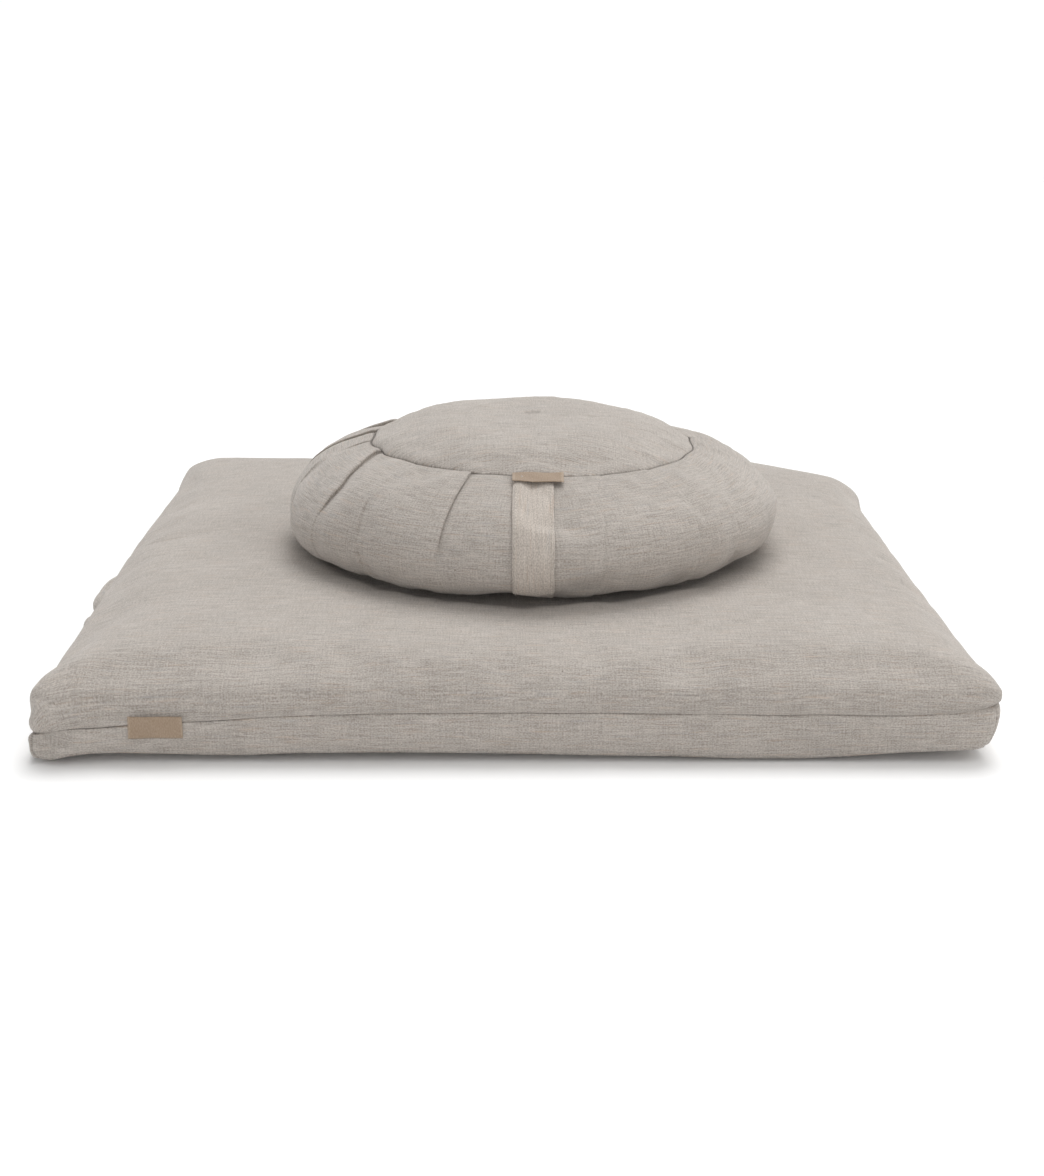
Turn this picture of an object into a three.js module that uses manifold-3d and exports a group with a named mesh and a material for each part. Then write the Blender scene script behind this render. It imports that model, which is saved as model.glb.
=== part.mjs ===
// A sitting set for the floor: a square mat cushion (zabuton) with a round, pleated cushion (zafu) resting on it.
// Both have zipped linen covers over a cotton liner. The mat is filled with felted cotton batting in three layers,
// and the round cushion with loose buckwheat hulls. Millimetres, +Z up, +Y towards the mat's back edge.
// The origin is on the floor under the middle of the mat.

import * as THREE from 'three';
import { mergeVertices } from 'three/addons/utils/BufferGeometryUtils.js';
import Module from 'manifold-3d';

const wasm = await Module();
wasm.setup();

// ---------------------------------------------------------------- driving dimensions

const MAT_WIDTH = 704; // across X, seam to seam
const MAT_DEPTH = 736; // across Y, seam to seam
const MAT_TOP = 76; // height of the flat that the round cushion presses into the mat
const MAT_CORNER = 16; // corner radius in plan
const BOXING_LOW = 4; // the side strips run from here
const BOXING_HIGH = 38; // to here

const ZAFU_X = 13; // centre of the round cushion
const ZAFU_Y = -30;
const ZAFU_RADIUS = 218; // at the widest part of the pleated band
const ZAFU_HEIGHT = 121;
const ZAFU_BASE = MAT_TOP + 0.4;
const ZAFU_SEAM_RADIUS = 142; // seam between the round top and the pleated band

const LINEN = 1.2; // one layer of cover, with its seam allowance
const PLEATED = 2.4; // linen folded double, as in the pleats and beside a zip
const MUSLIN = 0.8; // liner
const GAP = 0.3; // clearance between pieces that are sewn or pressed together

const ZIP_DEPTH = 3.1; // from the face of a cover down to the face of its zip tape
const ZIP_SLOT = 12; // width of the slot in the cover that shows the zip
const MAT_ZIP_LENGTH = 570;
const ZAFU_ZIP_LENGTH = 372; // measured round the curve
const MAT_ZIP_Z = 21;
const ZAFU_ZIP_Z = ZAFU_BASE + 36.6;
const ZIP_END_ROOM = 11; // from a zip's end to its slider's middle

const STRAP_WIDTH = 33;
const LABEL_LENGTH = 17; // from the seam that holds it to its free edge
const LABEL_THICK = 1;
const MAT_LABEL_WIDTH = 40;
const MAT_LABEL_X = -265;
const ZAFU_LABEL_WIDTH = 42;
const ZAFU_LABEL_X = ZAFU_X + 4;

const ROUND_STEPS = 60; // facets round the round cushion's cover
const LINER_STEPS = 36;
const CORNER_STEPS = 5; // facets in each of the mat's corners

// ---------------------------------------------------------------- materials

function material(color, roughness, metalness = 0) {
  return new THREE.MeshStandardMaterial({ color, roughness, metalness });
}

const LINEN_COVER = material(0xbab4ab, 0.95);
const MUSLIN_LINER = material(0xe9e4d6, 0.95);
const COTTON_BATTING = material(0xefebe1, 1);
const BUCKWHEAT = material(0x4a3526, 0.9);
const ZIP_TAPE = material(0xb3aa9b, 0.9);
const ZIP_COIL = material(0xa79d8c, 0.5);
const ZIP_METAL = material(0x8d877c, 0.35, 0.9);
const LABEL_WEAVE = material(0xb59c7d, 0.85);

// ---------------------------------------------------------------- the assembly

const assembly = new THREE.Group();

function addPiece(name, geometry, pieceMaterial, parent = assembly) {
  const mesh = new THREE.Mesh(geometry, pieceMaterial);
  mesh.name = name;
  parent.add(mesh);
}

// ---------------------------------------------------------------- solids

function solidOf(geometry) {
  const loose = geometry.index ? geometry.toNonIndexed() : geometry;
  const bare = new THREE.BufferGeometry().setAttribute('position', loose.getAttribute('position'));
  const merged = mergeVertices(bare, 1e-3);
  return new wasm.Manifold(
    new wasm.Mesh({
      numProp: 3,
      vertProperties: merged.attributes.position.array,
      triVerts: new Uint32Array(merged.index.array),
    }),
  );
}

function geometryOf(solid) {
  const mesh = solid.getMesh();
  return new THREE.BufferGeometry()
    .setAttribute('position', new THREE.BufferAttribute(mesh.vertProperties, 3))
    .setIndex(new THREE.BufferAttribute(mesh.triVerts, 1));
}

function box(x0, x1, y0, y1, z0, z1) {
  const geometry = new THREE.BoxGeometry(x1 - x0, y1 - y0, z1 - z0);
  return geometry.translate((x0 + x1) / 2, (y0 + y1) / 2, (z0 + z1) / 2);
}

// The part of a solid between two heights.
function slab(solid, low, high) {
  const reach = MAT_WIDTH;
  return solid.intersect(solidOf(box(-reach, reach, -reach, reach, low, high)));
}

// A straight-sided prism on the plane outline, from one height to another.
function prism(shape, low, high, curveSegments = 12) {
  const geometry = new THREE.ExtrudeGeometry(shape, { depth: high - low, bevelEnabled: false, curveSegments });
  return geometry.translate(0, 0, low);
}

// A section runs from the bottom middle outwards and up to the top middle, as [distance out, height] pairs.
// The same section moved inwards by the thickness of what lies outside it.
function inwards(section, distance) {
  return section.map(([out, height], i) => {
    const [outBefore, heightBefore] = section[Math.max(i - 1, 0)];
    const [outAfter, heightAfter] = section[Math.min(i + 1, section.length - 1)];
    const along = new THREE.Vector2(outAfter - outBefore, heightAfter - heightBefore).normalize();
    return [out - distance * along.y, height + distance * along.x];
  });
}

// The same section without what lies further out than a limit.
function within(section, limit) {
  return section.map(([out, height]) => [Math.min(out, limit), height]);
}

// The outline of a skin: along its outer face, and back along its inner face.
function skinOutline(section, thickness) {
  return [...section, ...inwards(section, thickness).reverse()];
}

// ---------------------------------------------------------------- the mat's sections

const HALF_WIDTH = MAT_WIDTH / 2;
const HALF_DEPTH = MAT_DEPTH / 2;

// Distances out are measured from the boxing's face, so they are negative over the mat.
const MAT_BOTTOM_SECTION = [
  [-120, 0],
  [-12, 0],
  [-4, 0.9],
  [-0.6, 2.4],
];
const MAT_TOP_SECTION = [
  [-0.4, BOXING_HIGH + GAP],
  [3.6, 42.5],
  [5.5, 49],
  [3.5, 55.5],
  [-3, 61.5],
  [-16, 66.5],
  [-42, 71],
  [-85, 74.5],
  [-128, MAT_TOP],
];
const MAT_LINER_INSET = 7; // leaves room behind the zip tape for the slider
const MAT_LINER_SECTION = [
  [-120, LINEN + 0.4],
  [-16, LINEN + 0.4],
  [-8.5, 4],
  [-MAT_LINER_INSET, 10],
  [-MAT_LINER_INSET, 48],
  [-9.5, 57],
  [-19, 64],
  [-43, 69.3],
  [-85, 72.8],
  [-126, MAT_TOP - 1.7],
];

// One turn round the mat at a distance out from the boxing's face; corners grow rounder towards the middle.
function matRing(out, height) {
  const halfX = HALF_WIDTH + out;
  const halfY = HALF_DEPTH + out;
  const radius = MAT_CORNER - 0.6 * out;
  const ring = [];
  for (const [corner, signX, signY] of [[0, 1, 1], [1, -1, 1], [2, -1, -1], [3, 1, -1]]) {
    for (let step = 0; step <= CORNER_STEPS; step++) {
      const angle = (corner + step / CORNER_STEPS) * (Math.PI / 2);
      const x = signX * (halfX - radius) + radius * Math.cos(angle);
      const y = signY * (halfY - radius) + radius * Math.sin(angle);
      ring.push(new THREE.Vector3(x, y, height));
    }
  }
  return ring;
}

// A closed surface over rings that each hold the same number of points, or one point where it closes.
function surfaceOver(rings, closesOnItself) {
  const corners = [];
  const pairs = rings.map((ring, i) => [ring, rings[(i + 1) % rings.length]]);
  for (const [low, high] of closesOnItself ? pairs : pairs.slice(0, -1)) {
    const count = Math.max(low.length, high.length);
    for (let i = 0; i < count && low.length + high.length > 2; i++) {
      const next = (i + 1) % count;
      const at = (ring, index) => ring[ring.length > 1 ? index : 0];
      if (low.length > 1) corners.push(at(low, i), at(low, next), at(high, next));
      if (high.length > 1) corners.push(at(low, i), at(high, next), at(high, i));
    }
  }
  return new THREE.BufferGeometry().setFromPoints(corners);
}

function matMiddle(height) {
  return [new THREE.Vector3(0, 0, height)];
}

// A solid body with the given section.
function matBody(section) {
  const rings = section.map(([out, height]) => matRing(out, height));
  const last = section.length - 1;
  return surfaceOver([matMiddle(section[0][1]), ...rings, matMiddle(section[last][1])], false);
}

// A cloth skin under the top section, or over the bottom one.
function matSkin(section, thickness, closesAtTop) {
  const outer = section.map(([out, height]) => matRing(out, height));
  const inner = skinOutline(section, thickness)
    .slice(section.length)
    .map(([out, height]) => matRing(out, height));
  const flat = closesAtTop ? section[section.length - 1][1] : section[0][1];
  const outerMiddle = matMiddle(flat);
  const innerMiddle = matMiddle(closesAtTop ? flat - thickness : flat + thickness);
  return closesAtTop
    ? surfaceOver([...outer, outerMiddle, innerMiddle, ...inner], true)
    : surfaceOver([innerMiddle, outerMiddle, ...outer, ...inner], true);
}

function matOutline(inset) {
  const ring = matRing(-inset, 0);
  return new THREE.Shape(ring.map((point) => new THREE.Vector2(point.x, point.y)));
}

// ---------------------------------------------------------------- mat cover

// The boxing is a band round the mat, cut at its corner seams into one strip for each side.
function boxingBand(thickness) {
  const outline = matOutline(0);
  outline.holes.push(matOutline(thickness));
  return solidOf(prism(outline, BOXING_LOW, BOXING_HIGH));
}

function sideWedge(quarterTurns) {
  const reach = MAT_DEPTH;
  const cornerX = HALF_WIDTH - MAT_CORNER;
  const cornerY = HALF_DEPTH - MAT_CORNER;
  const alongX = quarterTurns % 2 === 0;
  const half = alongX ? cornerX : cornerY;
  const start = alongX ? cornerY : cornerX;
  const side = (t) => half + (t - start) - GAP / 2;
  const wedge = new THREE.Shape([
    new THREE.Vector2(-side(start - 60), -(start - 60)),
    new THREE.Vector2(-side(reach), -reach),
    new THREE.Vector2(side(reach), -reach),
    new THREE.Vector2(side(start - 60), -(start - 60)),
  ]);
  return solidOf(prism(wedge, -1, MAT_TOP).rotateZ(quarterTurns * (Math.PI / 2)));
}

function addMatCover() {
  addPiece('mat_bottom_panel', matSkin(MAT_BOTTOM_SECTION, LINEN, false), LINEN_COVER);
  addPiece('mat_top_panel', matSkin(MAT_TOP_SECTION, LINEN, true), LINEN_COVER);
  const band = boxingBand(LINEN);
  for (const [name, quarterTurns] of [['front', 0], ['right', 1], ['left', 3]]) {
    addPiece(`mat_boxing_${name}`, geometryOf(band.intersect(sideWedge(quarterTurns))), LINEN_COVER);
  }
  const halfSlot = MAT_ZIP_LENGTH / 2 + 5;
  const slot = box(-halfSlot, halfSlot, 0, MAT_DEPTH, MAT_ZIP_Z - ZIP_SLOT / 2, MAT_ZIP_Z + ZIP_SLOT / 2);
  const back = boxingBand(PLEATED).intersect(sideWedge(2)).subtract(solidOf(slot));
  addPiece('mat_boxing_back_lower', geometryOf(slab(back, 0, MAT_ZIP_Z - GAP / 2)), LINEN_COVER);
  addPiece('mat_boxing_back_upper', geometryOf(slab(back, MAT_ZIP_Z + GAP / 2, MAT_TOP)), LINEN_COVER);
}

// ---------------------------------------------------------------- mat liner and batting

const LINER_SEAM_Z = 30;
const BATTING_LAYERS = [['lower', 0, 25], ['middle', 25, 50], ['upper', 50, MAT_TOP]];

function addMatFilling() {
  const outside = solidOf(matBody(MAT_LINER_SECTION));
  const inside = solidOf(matBody(inwards(MAT_LINER_SECTION, MUSLIN)));
  const lowerHalf = slab(outside, 0, LINER_SEAM_Z - GAP / 2).subtract(inside);
  const upperHalf = slab(outside, LINER_SEAM_Z + GAP / 2, MAT_TOP).subtract(inside);
  addPiece('mat_liner_lower', geometryOf(lowerHalf), MUSLIN_LINER);
  addPiece('mat_liner_upper', geometryOf(upperHalf), MUSLIN_LINER);
  const batting = solidOf(matBody(inwards(MAT_LINER_SECTION, MUSLIN + GAP)));
  for (const [name, low, high] of BATTING_LAYERS) {
    addPiece(`mat_batting_${name}`, geometryOf(slab(batting, low + GAP / 2, high - GAP / 2)), COTTON_BATTING);
  }
}

// ---------------------------------------------------------------- zips

// Zip parts are placed by distance along the zip, outwards from the tape's face, and up across the tape.
const TAPE = { thick: 0.8, from: 0.9, to: 9 };
const COIL = { low: 0.3, high: 2.5, from: 0.9, to: 3 };
const PLATE = { low: 2.9, high: 4.3, halfLength: 5.5, halfWidth: 4.6 };
const BACK_PLATE = { low: -2.3, high: -1.2 };
const FLANGE = { low: 0.4, inner: 3.6 };
const NECK = { half: 0.45, from: 2.6 };
const BRIDGE = { half: 0.9, halfLength: 3.2, clear: 6.3, high: 7.3, post: 1.2 };
const PULL_AXIS_OUT = 5.3;
const PULL = { wire: 0.6, arm: 0.8, inner: 1.8, reach: 5.2, length: 27, half: 3.5, thick: 1 };
const STOP = { length: 4, high: 2.9, to: 3.3 };

// The mat's zip is straight, along X on the back face.
const straightRun = {
  face: HALF_DEPTH - ZIP_DEPTH,
  bar(along0, along1, out0, out1, up0, up1) {
    return box(along0, along1, this.face + out0, this.face + out1, MAT_ZIP_Z + up0, MAT_ZIP_Z + up1);
  },
  placeAt(group, along) {
    group.position.set(along, this.face, MAT_ZIP_Z);
  },
};

// The round cushion's zip follows the back of its side; distance along it runs clockwise from the middle.
const ARC_STEP = THREE.MathUtils.degToRad(3);
const curvedRun = {
  face: ZAFU_RADIUS - ZIP_DEPTH,
  angleAt(along) {
    return Math.PI / 2 - along / this.face;
  },
  bar(along0, along1, out0, out1, up0, up1) {
    const start = this.angleAt(along1);
    const end = this.angleAt(along0);
    const steps = Math.max(1, Math.ceil((end - start) / ARC_STEP));
    const arc = (out) =>
      Array.from({ length: steps + 1 }, (_, i) => {
        const angle = start + ((end - start) * i) / steps;
        return new THREE.Vector2(Math.cos(angle), Math.sin(angle)).multiplyScalar(this.face + out);
      });
    const sector = new THREE.Shape([...arc(out1), ...arc(out0).reverse()]);
    return prism(sector, ZAFU_ZIP_Z + up0, ZAFU_ZIP_Z + up1).translate(ZAFU_X, ZAFU_Y, 0);
  },
  placeAt(group, along) {
    const angle = this.angleAt(along);
    const x = ZAFU_X + this.face * Math.cos(angle);
    const y = ZAFU_Y + this.face * Math.sin(angle);
    group.position.set(x, y, ZAFU_ZIP_Z);
    group.rotation.z = angle - Math.PI / 2;
  },
};

// A slider's plate seen from outside: a shield that narrows towards the closed chain.
function plateOutline() {
  const { halfLength, halfWidth } = PLATE;
  return new THREE.Shape([
    new THREE.Vector2(-halfLength, -halfWidth + 2.2),
    new THREE.Vector2(-halfLength + 1.6, -halfWidth),
    new THREE.Vector2(0, -halfWidth),
    new THREE.Vector2(halfLength, -halfWidth + 0.6),
    new THREE.Vector2(halfLength, halfWidth - 0.6),
    new THREE.Vector2(0, halfWidth),
    new THREE.Vector2(-halfLength + 1.6, halfWidth),
    new THREE.Vector2(-halfLength, halfWidth - 2.2),
  ]);
}

// Two plates joined by a neck between the tapes, flanges over the coils, and a bridge that holds the pull.
function sliderGeometry() {
  const plate = (low, high) => {
    const shield = new THREE.ExtrudeGeometry(plateOutline(), { depth: high - low, bevelEnabled: false });
    return solidOf(shield.rotateX(Math.PI / 2).translate(0, high, 0));
  };
  const { halfLength, halfWidth } = PLATE;
  let slider = plate(PLATE.low, PLATE.high).add(plate(BACK_PLATE.low, BACK_PLATE.high));
  const neck = box(NECK.from, halfLength - 0.4, BACK_PLATE.high - 0.5, PLATE.low + 0.5, -NECK.half, NECK.half);
  slider = slider.add(solidOf(neck));
  for (const side of [-1, 1]) {
    const edges = [side * FLANGE.inner, side * (halfWidth - 0.1)].sort((a, b) => a - b);
    const flange = box(-halfLength + 2, halfLength - 1, FLANGE.low, PLATE.low + 0.5, ...edges);
    slider = slider.add(solidOf(flange));
    const post = [side * BRIDGE.halfLength, side * (BRIDGE.halfLength - BRIDGE.post)].sort((a, b) => a - b);
    const foot = box(...post, PLATE.high - 0.5, BRIDGE.clear + 0.5, -BRIDGE.half, BRIDGE.half);
    slider = slider.add(solidOf(foot));
  }
  const { halfLength: reach, half } = BRIDGE;
  slider = slider.add(solidOf(box(-reach, reach, BRIDGE.clear, BRIDGE.high, -half, half)));
  return geometryOf(slider);
}

// A wire that turns in the bridge, two arms, and the tab that is held between finger and thumb.
function pullGeometry() {
  const halfThick = PULL.thick / 2;
  const wire = new THREE.CylinderGeometry(PULL.wire, PULL.wire, 2 * (PULL.inner + PULL.arm), 12);
  let pull = solidOf(wire.rotateX(Math.PI / 2));
  for (const side of [-1, 1]) {
    const edges = [side * PULL.inner, side * (PULL.inner + PULL.arm)].sort((a, b) => a - b);
    pull = pull.add(solidOf(box(-PULL.reach - 1, PULL.wire, -halfThick, halfThick, ...edges)));
  }
  const tab = new THREE.Shape()
    .moveTo(-PULL.reach, -PULL.inner - PULL.arm)
    .lineTo(-PULL.reach, PULL.inner + PULL.arm)
    .lineTo(-PULL.length + PULL.half, PULL.half)
    .absarc(-PULL.length + PULL.half, 0, PULL.half, Math.PI / 2, (3 * Math.PI) / 2, false)
    .closePath();
  const flat = new THREE.ExtrudeGeometry(tab, { depth: PULL.thick, bevelEnabled: false, curveSegments: 12 });
  return geometryOf(pull.add(solidOf(flat.rotateX(Math.PI / 2).translate(0, halfThick, 0))));
}

function addZip(prefix, run, length) {
  const half = length / 2;
  for (const [side, name] of [[1, 'upper'], [-1, 'lower']]) {
    const across = (from, to) => [side * from, side * to].sort((a, b) => a - b);
    const tape = run.bar(-half, half, -TAPE.thick, 0, ...across(TAPE.from, TAPE.to));
    addPiece(`${prefix}_zip_tape_${name}`, tape, ZIP_TAPE);
    const coilEnds = [-half + STOP.length + 2 * GAP, half - STOP.length - 2 * GAP];
    const coil = run.bar(...coilEnds, COIL.low, COIL.high, ...across(COIL.from, COIL.to));
    addPiece(`${prefix}_zip_coil_${name}`, coil, ZIP_COIL);
    const topStop = run.bar(half - STOP.length, half, GAP, STOP.high, ...across(COIL.from, STOP.to));
    addPiece(`${prefix}_zip_top_stop_${name}`, topStop, ZIP_METAL);
  }
  const bottomStop = run.bar(-half, -half + STOP.length, GAP, STOP.high, -STOP.to, STOP.to);
  addPiece(`${prefix}_zip_bottom_stop`, bottomStop, ZIP_METAL);

  const slider = new THREE.Group();
  run.placeAt(slider, half - ZIP_END_ROOM);
  assembly.add(slider);
  addPiece(`${prefix}_zip_slider`, sliderGeometry(), ZIP_METAL, slider);
  addPiece(`${prefix}_zip_pull`, pullGeometry().translate(0, PULL_AXIS_OUT, 0), ZIP_METAL, slider);
}

// ---------------------------------------------------------------- the round cushion's sections

const TOP_Z = ZAFU_BASE + ZAFU_HEIGHT;
const SEAM_Z = ZAFU_BASE + 95.2;
const BASE_SEAM_RADIUS = 160;

const ZAFU_BOTTOM_SECTION = [
  [0, ZAFU_BASE],
  [148, ZAFU_BASE],
  [BASE_SEAM_RADIUS, ZAFU_BASE + 1.8],
];
const ZAFU_BAND_SECTION = [
  [BASE_SEAM_RADIUS + 1, ZAFU_BASE + 2.3],
  [180, ZAFU_BASE + 6],
  [197, ZAFU_BASE + 12],
  [210, ZAFU_BASE + 19.5],
  [215.5, ZAFU_BASE + 24],
  [ZAFU_RADIUS, ZAFU_BASE + 26.4],
  [ZAFU_RADIUS, ZAFU_BASE + 46.8],
  [216.2, ZAFU_BASE + 51],
  [207, ZAFU_BASE + 64.5],
  [191, ZAFU_BASE + 77.5],
  [169, ZAFU_BASE + 88],
  [ZAFU_SEAM_RADIUS + GAP, SEAM_Z - 0.3],
];
const ZAFU_TOP_SECTION = [
  [ZAFU_SEAM_RADIUS, SEAM_Z],
  [130, SEAM_Z + 7.2],
  [114, SEAM_Z + 14.4],
  [96, SEAM_Z + 19.6],
  [72, SEAM_Z + 23.6],
  [40, TOP_Z],
  [0, TOP_Z],
];
const ZAFU_LINER_RADIUS = 211; // leaves room behind the zip tape for the slider
const ZAFU_LINER_OFFSET = 3.2;
const LINER_DISC_RADIUS = 136;

// A body of revolution about the round cushion's own axis.
function turned(section, steps) {
  const profile = section.map(([out, height]) => new THREE.Vector2(out, height));
  return new THREE.LatheGeometry(profile, steps).rotateX(Math.PI / 2).translate(ZAFU_X, ZAFU_Y, 0);
}

function turnedSkin(section, thickness, steps) {
  const outline = skinOutline(section, thickness);
  const touchesAxis = section.some(([out]) => out === 0);
  if (!touchesAxis) return turned([...outline, outline[0]], steps);
  const axisAtStart = section[0][0] === 0;
  const turn = axisAtStart ? outline : [...outline.slice(section.length), ...section];
  return turned(turn, steps);
}

// ---------------------------------------------------------------- round cushion cover

function addZafuCover() {
  const bottom = turnedSkin(ZAFU_BOTTOM_SECTION, LINEN, ROUND_STEPS);
  addPiece('zafu_bottom_panel', bottom, LINEN_COVER);
  addPiece('zafu_top_panel', turnedSkin(ZAFU_TOP_SECTION, LINEN, ROUND_STEPS), LINEN_COVER);

  // The plain panel with the zip takes the back of the band; the pleats take the rest.
  const band = solidOf(turnedSkin(ZAFU_BAND_SECTION, PLEATED, ROUND_STEPS));
  const zipHalfAngle = (ZAFU_ZIP_LENGTH / 2 + 14) / curvedRun.face;
  const wedge = (halfAngle) => {
    const start = new THREE.Vector2(2 * ZAFU_RADIUS, 0).rotateAround(new THREE.Vector2(), Math.PI / 2 - halfAngle);
    const outline = new THREE.Shape()
      .moveTo(0, 0)
      .lineTo(start.x, start.y)
      .absarc(0, 0, 2 * ZAFU_RADIUS, Math.PI / 2 - halfAngle, Math.PI / 2 + halfAngle, false)
      .closePath();
    return solidOf(prism(outline, 0, 2 * TOP_Z).translate(ZAFU_X, ZAFU_Y, 0));
  };
  const seamAngle = GAP / ZAFU_SEAM_RADIUS;
  addPiece('zafu_pleated_band', geometryOf(band.subtract(wedge(zipHalfAngle + seamAngle))), LINEN_COVER);

  const halfSlot = ZAFU_ZIP_LENGTH / 2 + 5;
  const slot = curvedRun.bar(-halfSlot, halfSlot, -30, 30, -ZIP_SLOT / 2, ZIP_SLOT / 2);
  const zipPanel = band.intersect(wedge(zipHalfAngle)).subtract(solidOf(slot));
  addPiece('zafu_zip_panel_lower', geometryOf(slab(zipPanel, 0, ZAFU_ZIP_Z - GAP / 2)), LINEN_COVER);
  addPiece('zafu_zip_panel_upper', geometryOf(slab(zipPanel, ZAFU_ZIP_Z + GAP / 2, TOP_Z)), LINEN_COVER);
}

// ---------------------------------------------------------------- round cushion liner and hulls

function addZafuFilling() {
  const cover = [...ZAFU_BOTTOM_SECTION, ...ZAFU_BAND_SECTION, ...ZAFU_TOP_SECTION];
  const liner = within(inwards(cover, ZAFU_LINER_OFFSET), ZAFU_LINER_RADIUS);
  const outside = solidOf(turned(liner, LINER_STEPS));
  const inside = solidOf(turned(inwards(liner, MUSLIN), LINER_STEPS));
  const shell = outside.subtract(inside);
  const core = (radius, low, high) => {
    const cylinder = new THREE.CylinderGeometry(radius, radius, high - low, LINER_STEPS);
    return solidOf(cylinder.rotateX(Math.PI / 2).translate(ZAFU_X, ZAFU_Y, (low + high) / 2));
  };
  const waist = ZAFU_ZIP_Z;
  addPiece('zafu_liner_top', geometryOf(shell.intersect(core(LINER_DISC_RADIUS, waist, TOP_Z))), MUSLIN_LINER);
  addPiece('zafu_liner_bottom', geometryOf(shell.intersect(core(LINER_DISC_RADIUS, 0, waist))), MUSLIN_LINER);
  const wall = shell.subtract(core(LINER_DISC_RADIUS + GAP, 0, TOP_Z));
  addPiece('zafu_liner_wall', geometryOf(wall), MUSLIN_LINER);
  addPiece('zafu_buckwheat_hulls', turned(inwards(liner, MUSLIN + GAP), LINER_STEPS), BUCKWHEAT);
}

// ---------------------------------------------------------------- handle strap and labels

const STRAP_CLEAR = 0.4;
const STRAP_THICK = 1.8;

// A strap lies down the front of the round cushion, over the pleats, and is sewn in at both seams.
function addStrap() {
  const near = inwards(ZAFU_BAND_SECTION, -STRAP_CLEAR);
  const far = inwards(ZAFU_BAND_SECTION, -STRAP_CLEAR - STRAP_THICK);
  const lowest = ZAFU_BASE + 0.4;
  const outline = [...near, ...far.reverse()].map(([out, height]) => new THREE.Vector2(out, Math.max(height, lowest)));
  const strap = new THREE.ExtrudeGeometry(new THREE.Shape(outline), { depth: STRAP_WIDTH, bevelEnabled: false });
  strap.rotateX(Math.PI / 2).rotateZ(-Math.PI / 2);
  addPiece('zafu_strap', strap.translate(ZAFU_X + STRAP_WIDTH / 2, ZAFU_Y, 0), LINEN_COVER);
}

// A folded woven label, held along its upper edge; its group stands on the line that it turns about.
function addLabel(name, width, hinge, slope) {
  const label = new THREE.Group();
  label.position.copy(hinge);
  label.rotation.x = slope;
  assembly.add(label);
  const half = LABEL_THICK / 2;
  const flap = box(-width / 2, width / 2, -half, half, -LABEL_LENGTH, -0.4);
  addPiece(name, flap, LABEL_WEAVE, label);
}

function addLabels() {
  const face = -HALF_DEPTH - 0.4 - LABEL_THICK / 2;
  addLabel('mat_label', MAT_LABEL_WIDTH, new THREE.Vector3(MAT_LABEL_X, face, BOXING_HIGH - 0.6), 0);
  const overStrap = SEAM_Z + 3;
  const hinge = new THREE.Vector3(ZAFU_LABEL_X, ZAFU_Y - ZAFU_SEAM_RADIUS, overStrap);
  addLabel('zafu_label', ZAFU_LABEL_WIDTH, hinge, THREE.MathUtils.degToRad(-76));
}

// ---------------------------------------------------------------- build

addMatCover();
addMatFilling();
addZip('mat', straightRun, MAT_ZIP_LENGTH);
addZafuCover();
addZafuFilling();
addZip('zafu', curvedRun, ZAFU_ZIP_LENGTH);
addStrap();
addLabels();

export default assembly;
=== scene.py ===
import math

import bmesh
import bpy
import numpy as np
from mathutils import Matrix, Vector, noise
from mathutils.bvhtree import BVHTree


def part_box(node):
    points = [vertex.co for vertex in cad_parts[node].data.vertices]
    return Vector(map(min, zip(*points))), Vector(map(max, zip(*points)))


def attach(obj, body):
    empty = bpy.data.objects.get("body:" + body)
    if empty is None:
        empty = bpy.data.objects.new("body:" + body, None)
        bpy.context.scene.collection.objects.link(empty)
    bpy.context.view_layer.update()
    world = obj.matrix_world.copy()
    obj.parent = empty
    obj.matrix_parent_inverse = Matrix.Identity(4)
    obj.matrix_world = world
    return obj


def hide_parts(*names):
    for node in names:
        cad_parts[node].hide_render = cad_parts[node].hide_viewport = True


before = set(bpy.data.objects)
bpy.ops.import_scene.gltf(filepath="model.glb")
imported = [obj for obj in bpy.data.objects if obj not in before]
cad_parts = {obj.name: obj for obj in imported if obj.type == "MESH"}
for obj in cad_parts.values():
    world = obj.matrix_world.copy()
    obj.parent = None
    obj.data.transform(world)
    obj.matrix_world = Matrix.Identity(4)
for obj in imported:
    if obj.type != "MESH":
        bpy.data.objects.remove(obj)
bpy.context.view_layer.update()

# ---- The set stands on a pale floor and is seen from the front, a little above.
# The view has the mat's front edge across it and looks down by 17 degrees.
scene = bpy.context.scene
scene.view_settings.view_transform = "Standard"

camera = bpy.data.objects.new("camera", bpy.data.cameras.new("camera"))
camera.data.lens = 53.8
camera.data.sensor_width = 36
camera.location = (0.004, -1.5727, 0.499)
camera.rotation_euler = (math.radians(90 - 16.8), 0, 0)
scene.collection.objects.link(camera)
scene.camera = camera


def link(name, data):
    made = bpy.data.objects.new(name, data)
    scene.collection.objects.link(made)
    return made


def softbox(name, place, aim, size, power, colour):
    lamp = link(name, bpy.data.lights.new(name, "AREA"))
    lamp.data.shape = "RECTANGLE"
    lamp.data.size, lamp.data.size_y = size
    lamp.data.energy = power
    lamp.data.color = colour
    lamp.location = place
    lamp.rotation_euler = (Vector(aim) - Vector(place)).to_track_quat("-Z", "Y").to_euler()


softbox("window_light", (1.5, -0.7, 2.1), (0, 0, 0.1), (1.6, 1.6), 11, (1, 0.99, 0.97))
overhead = link("overhead_light", bpy.data.lights.new("overhead_light", "SUN"))
overhead.data.energy = 1.95
overhead.data.angle = math.radians(38)
overhead.rotation_euler = Vector((0.12, 0.50, 1.0)).to_track_quat("Z", "Y").to_euler()


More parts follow.
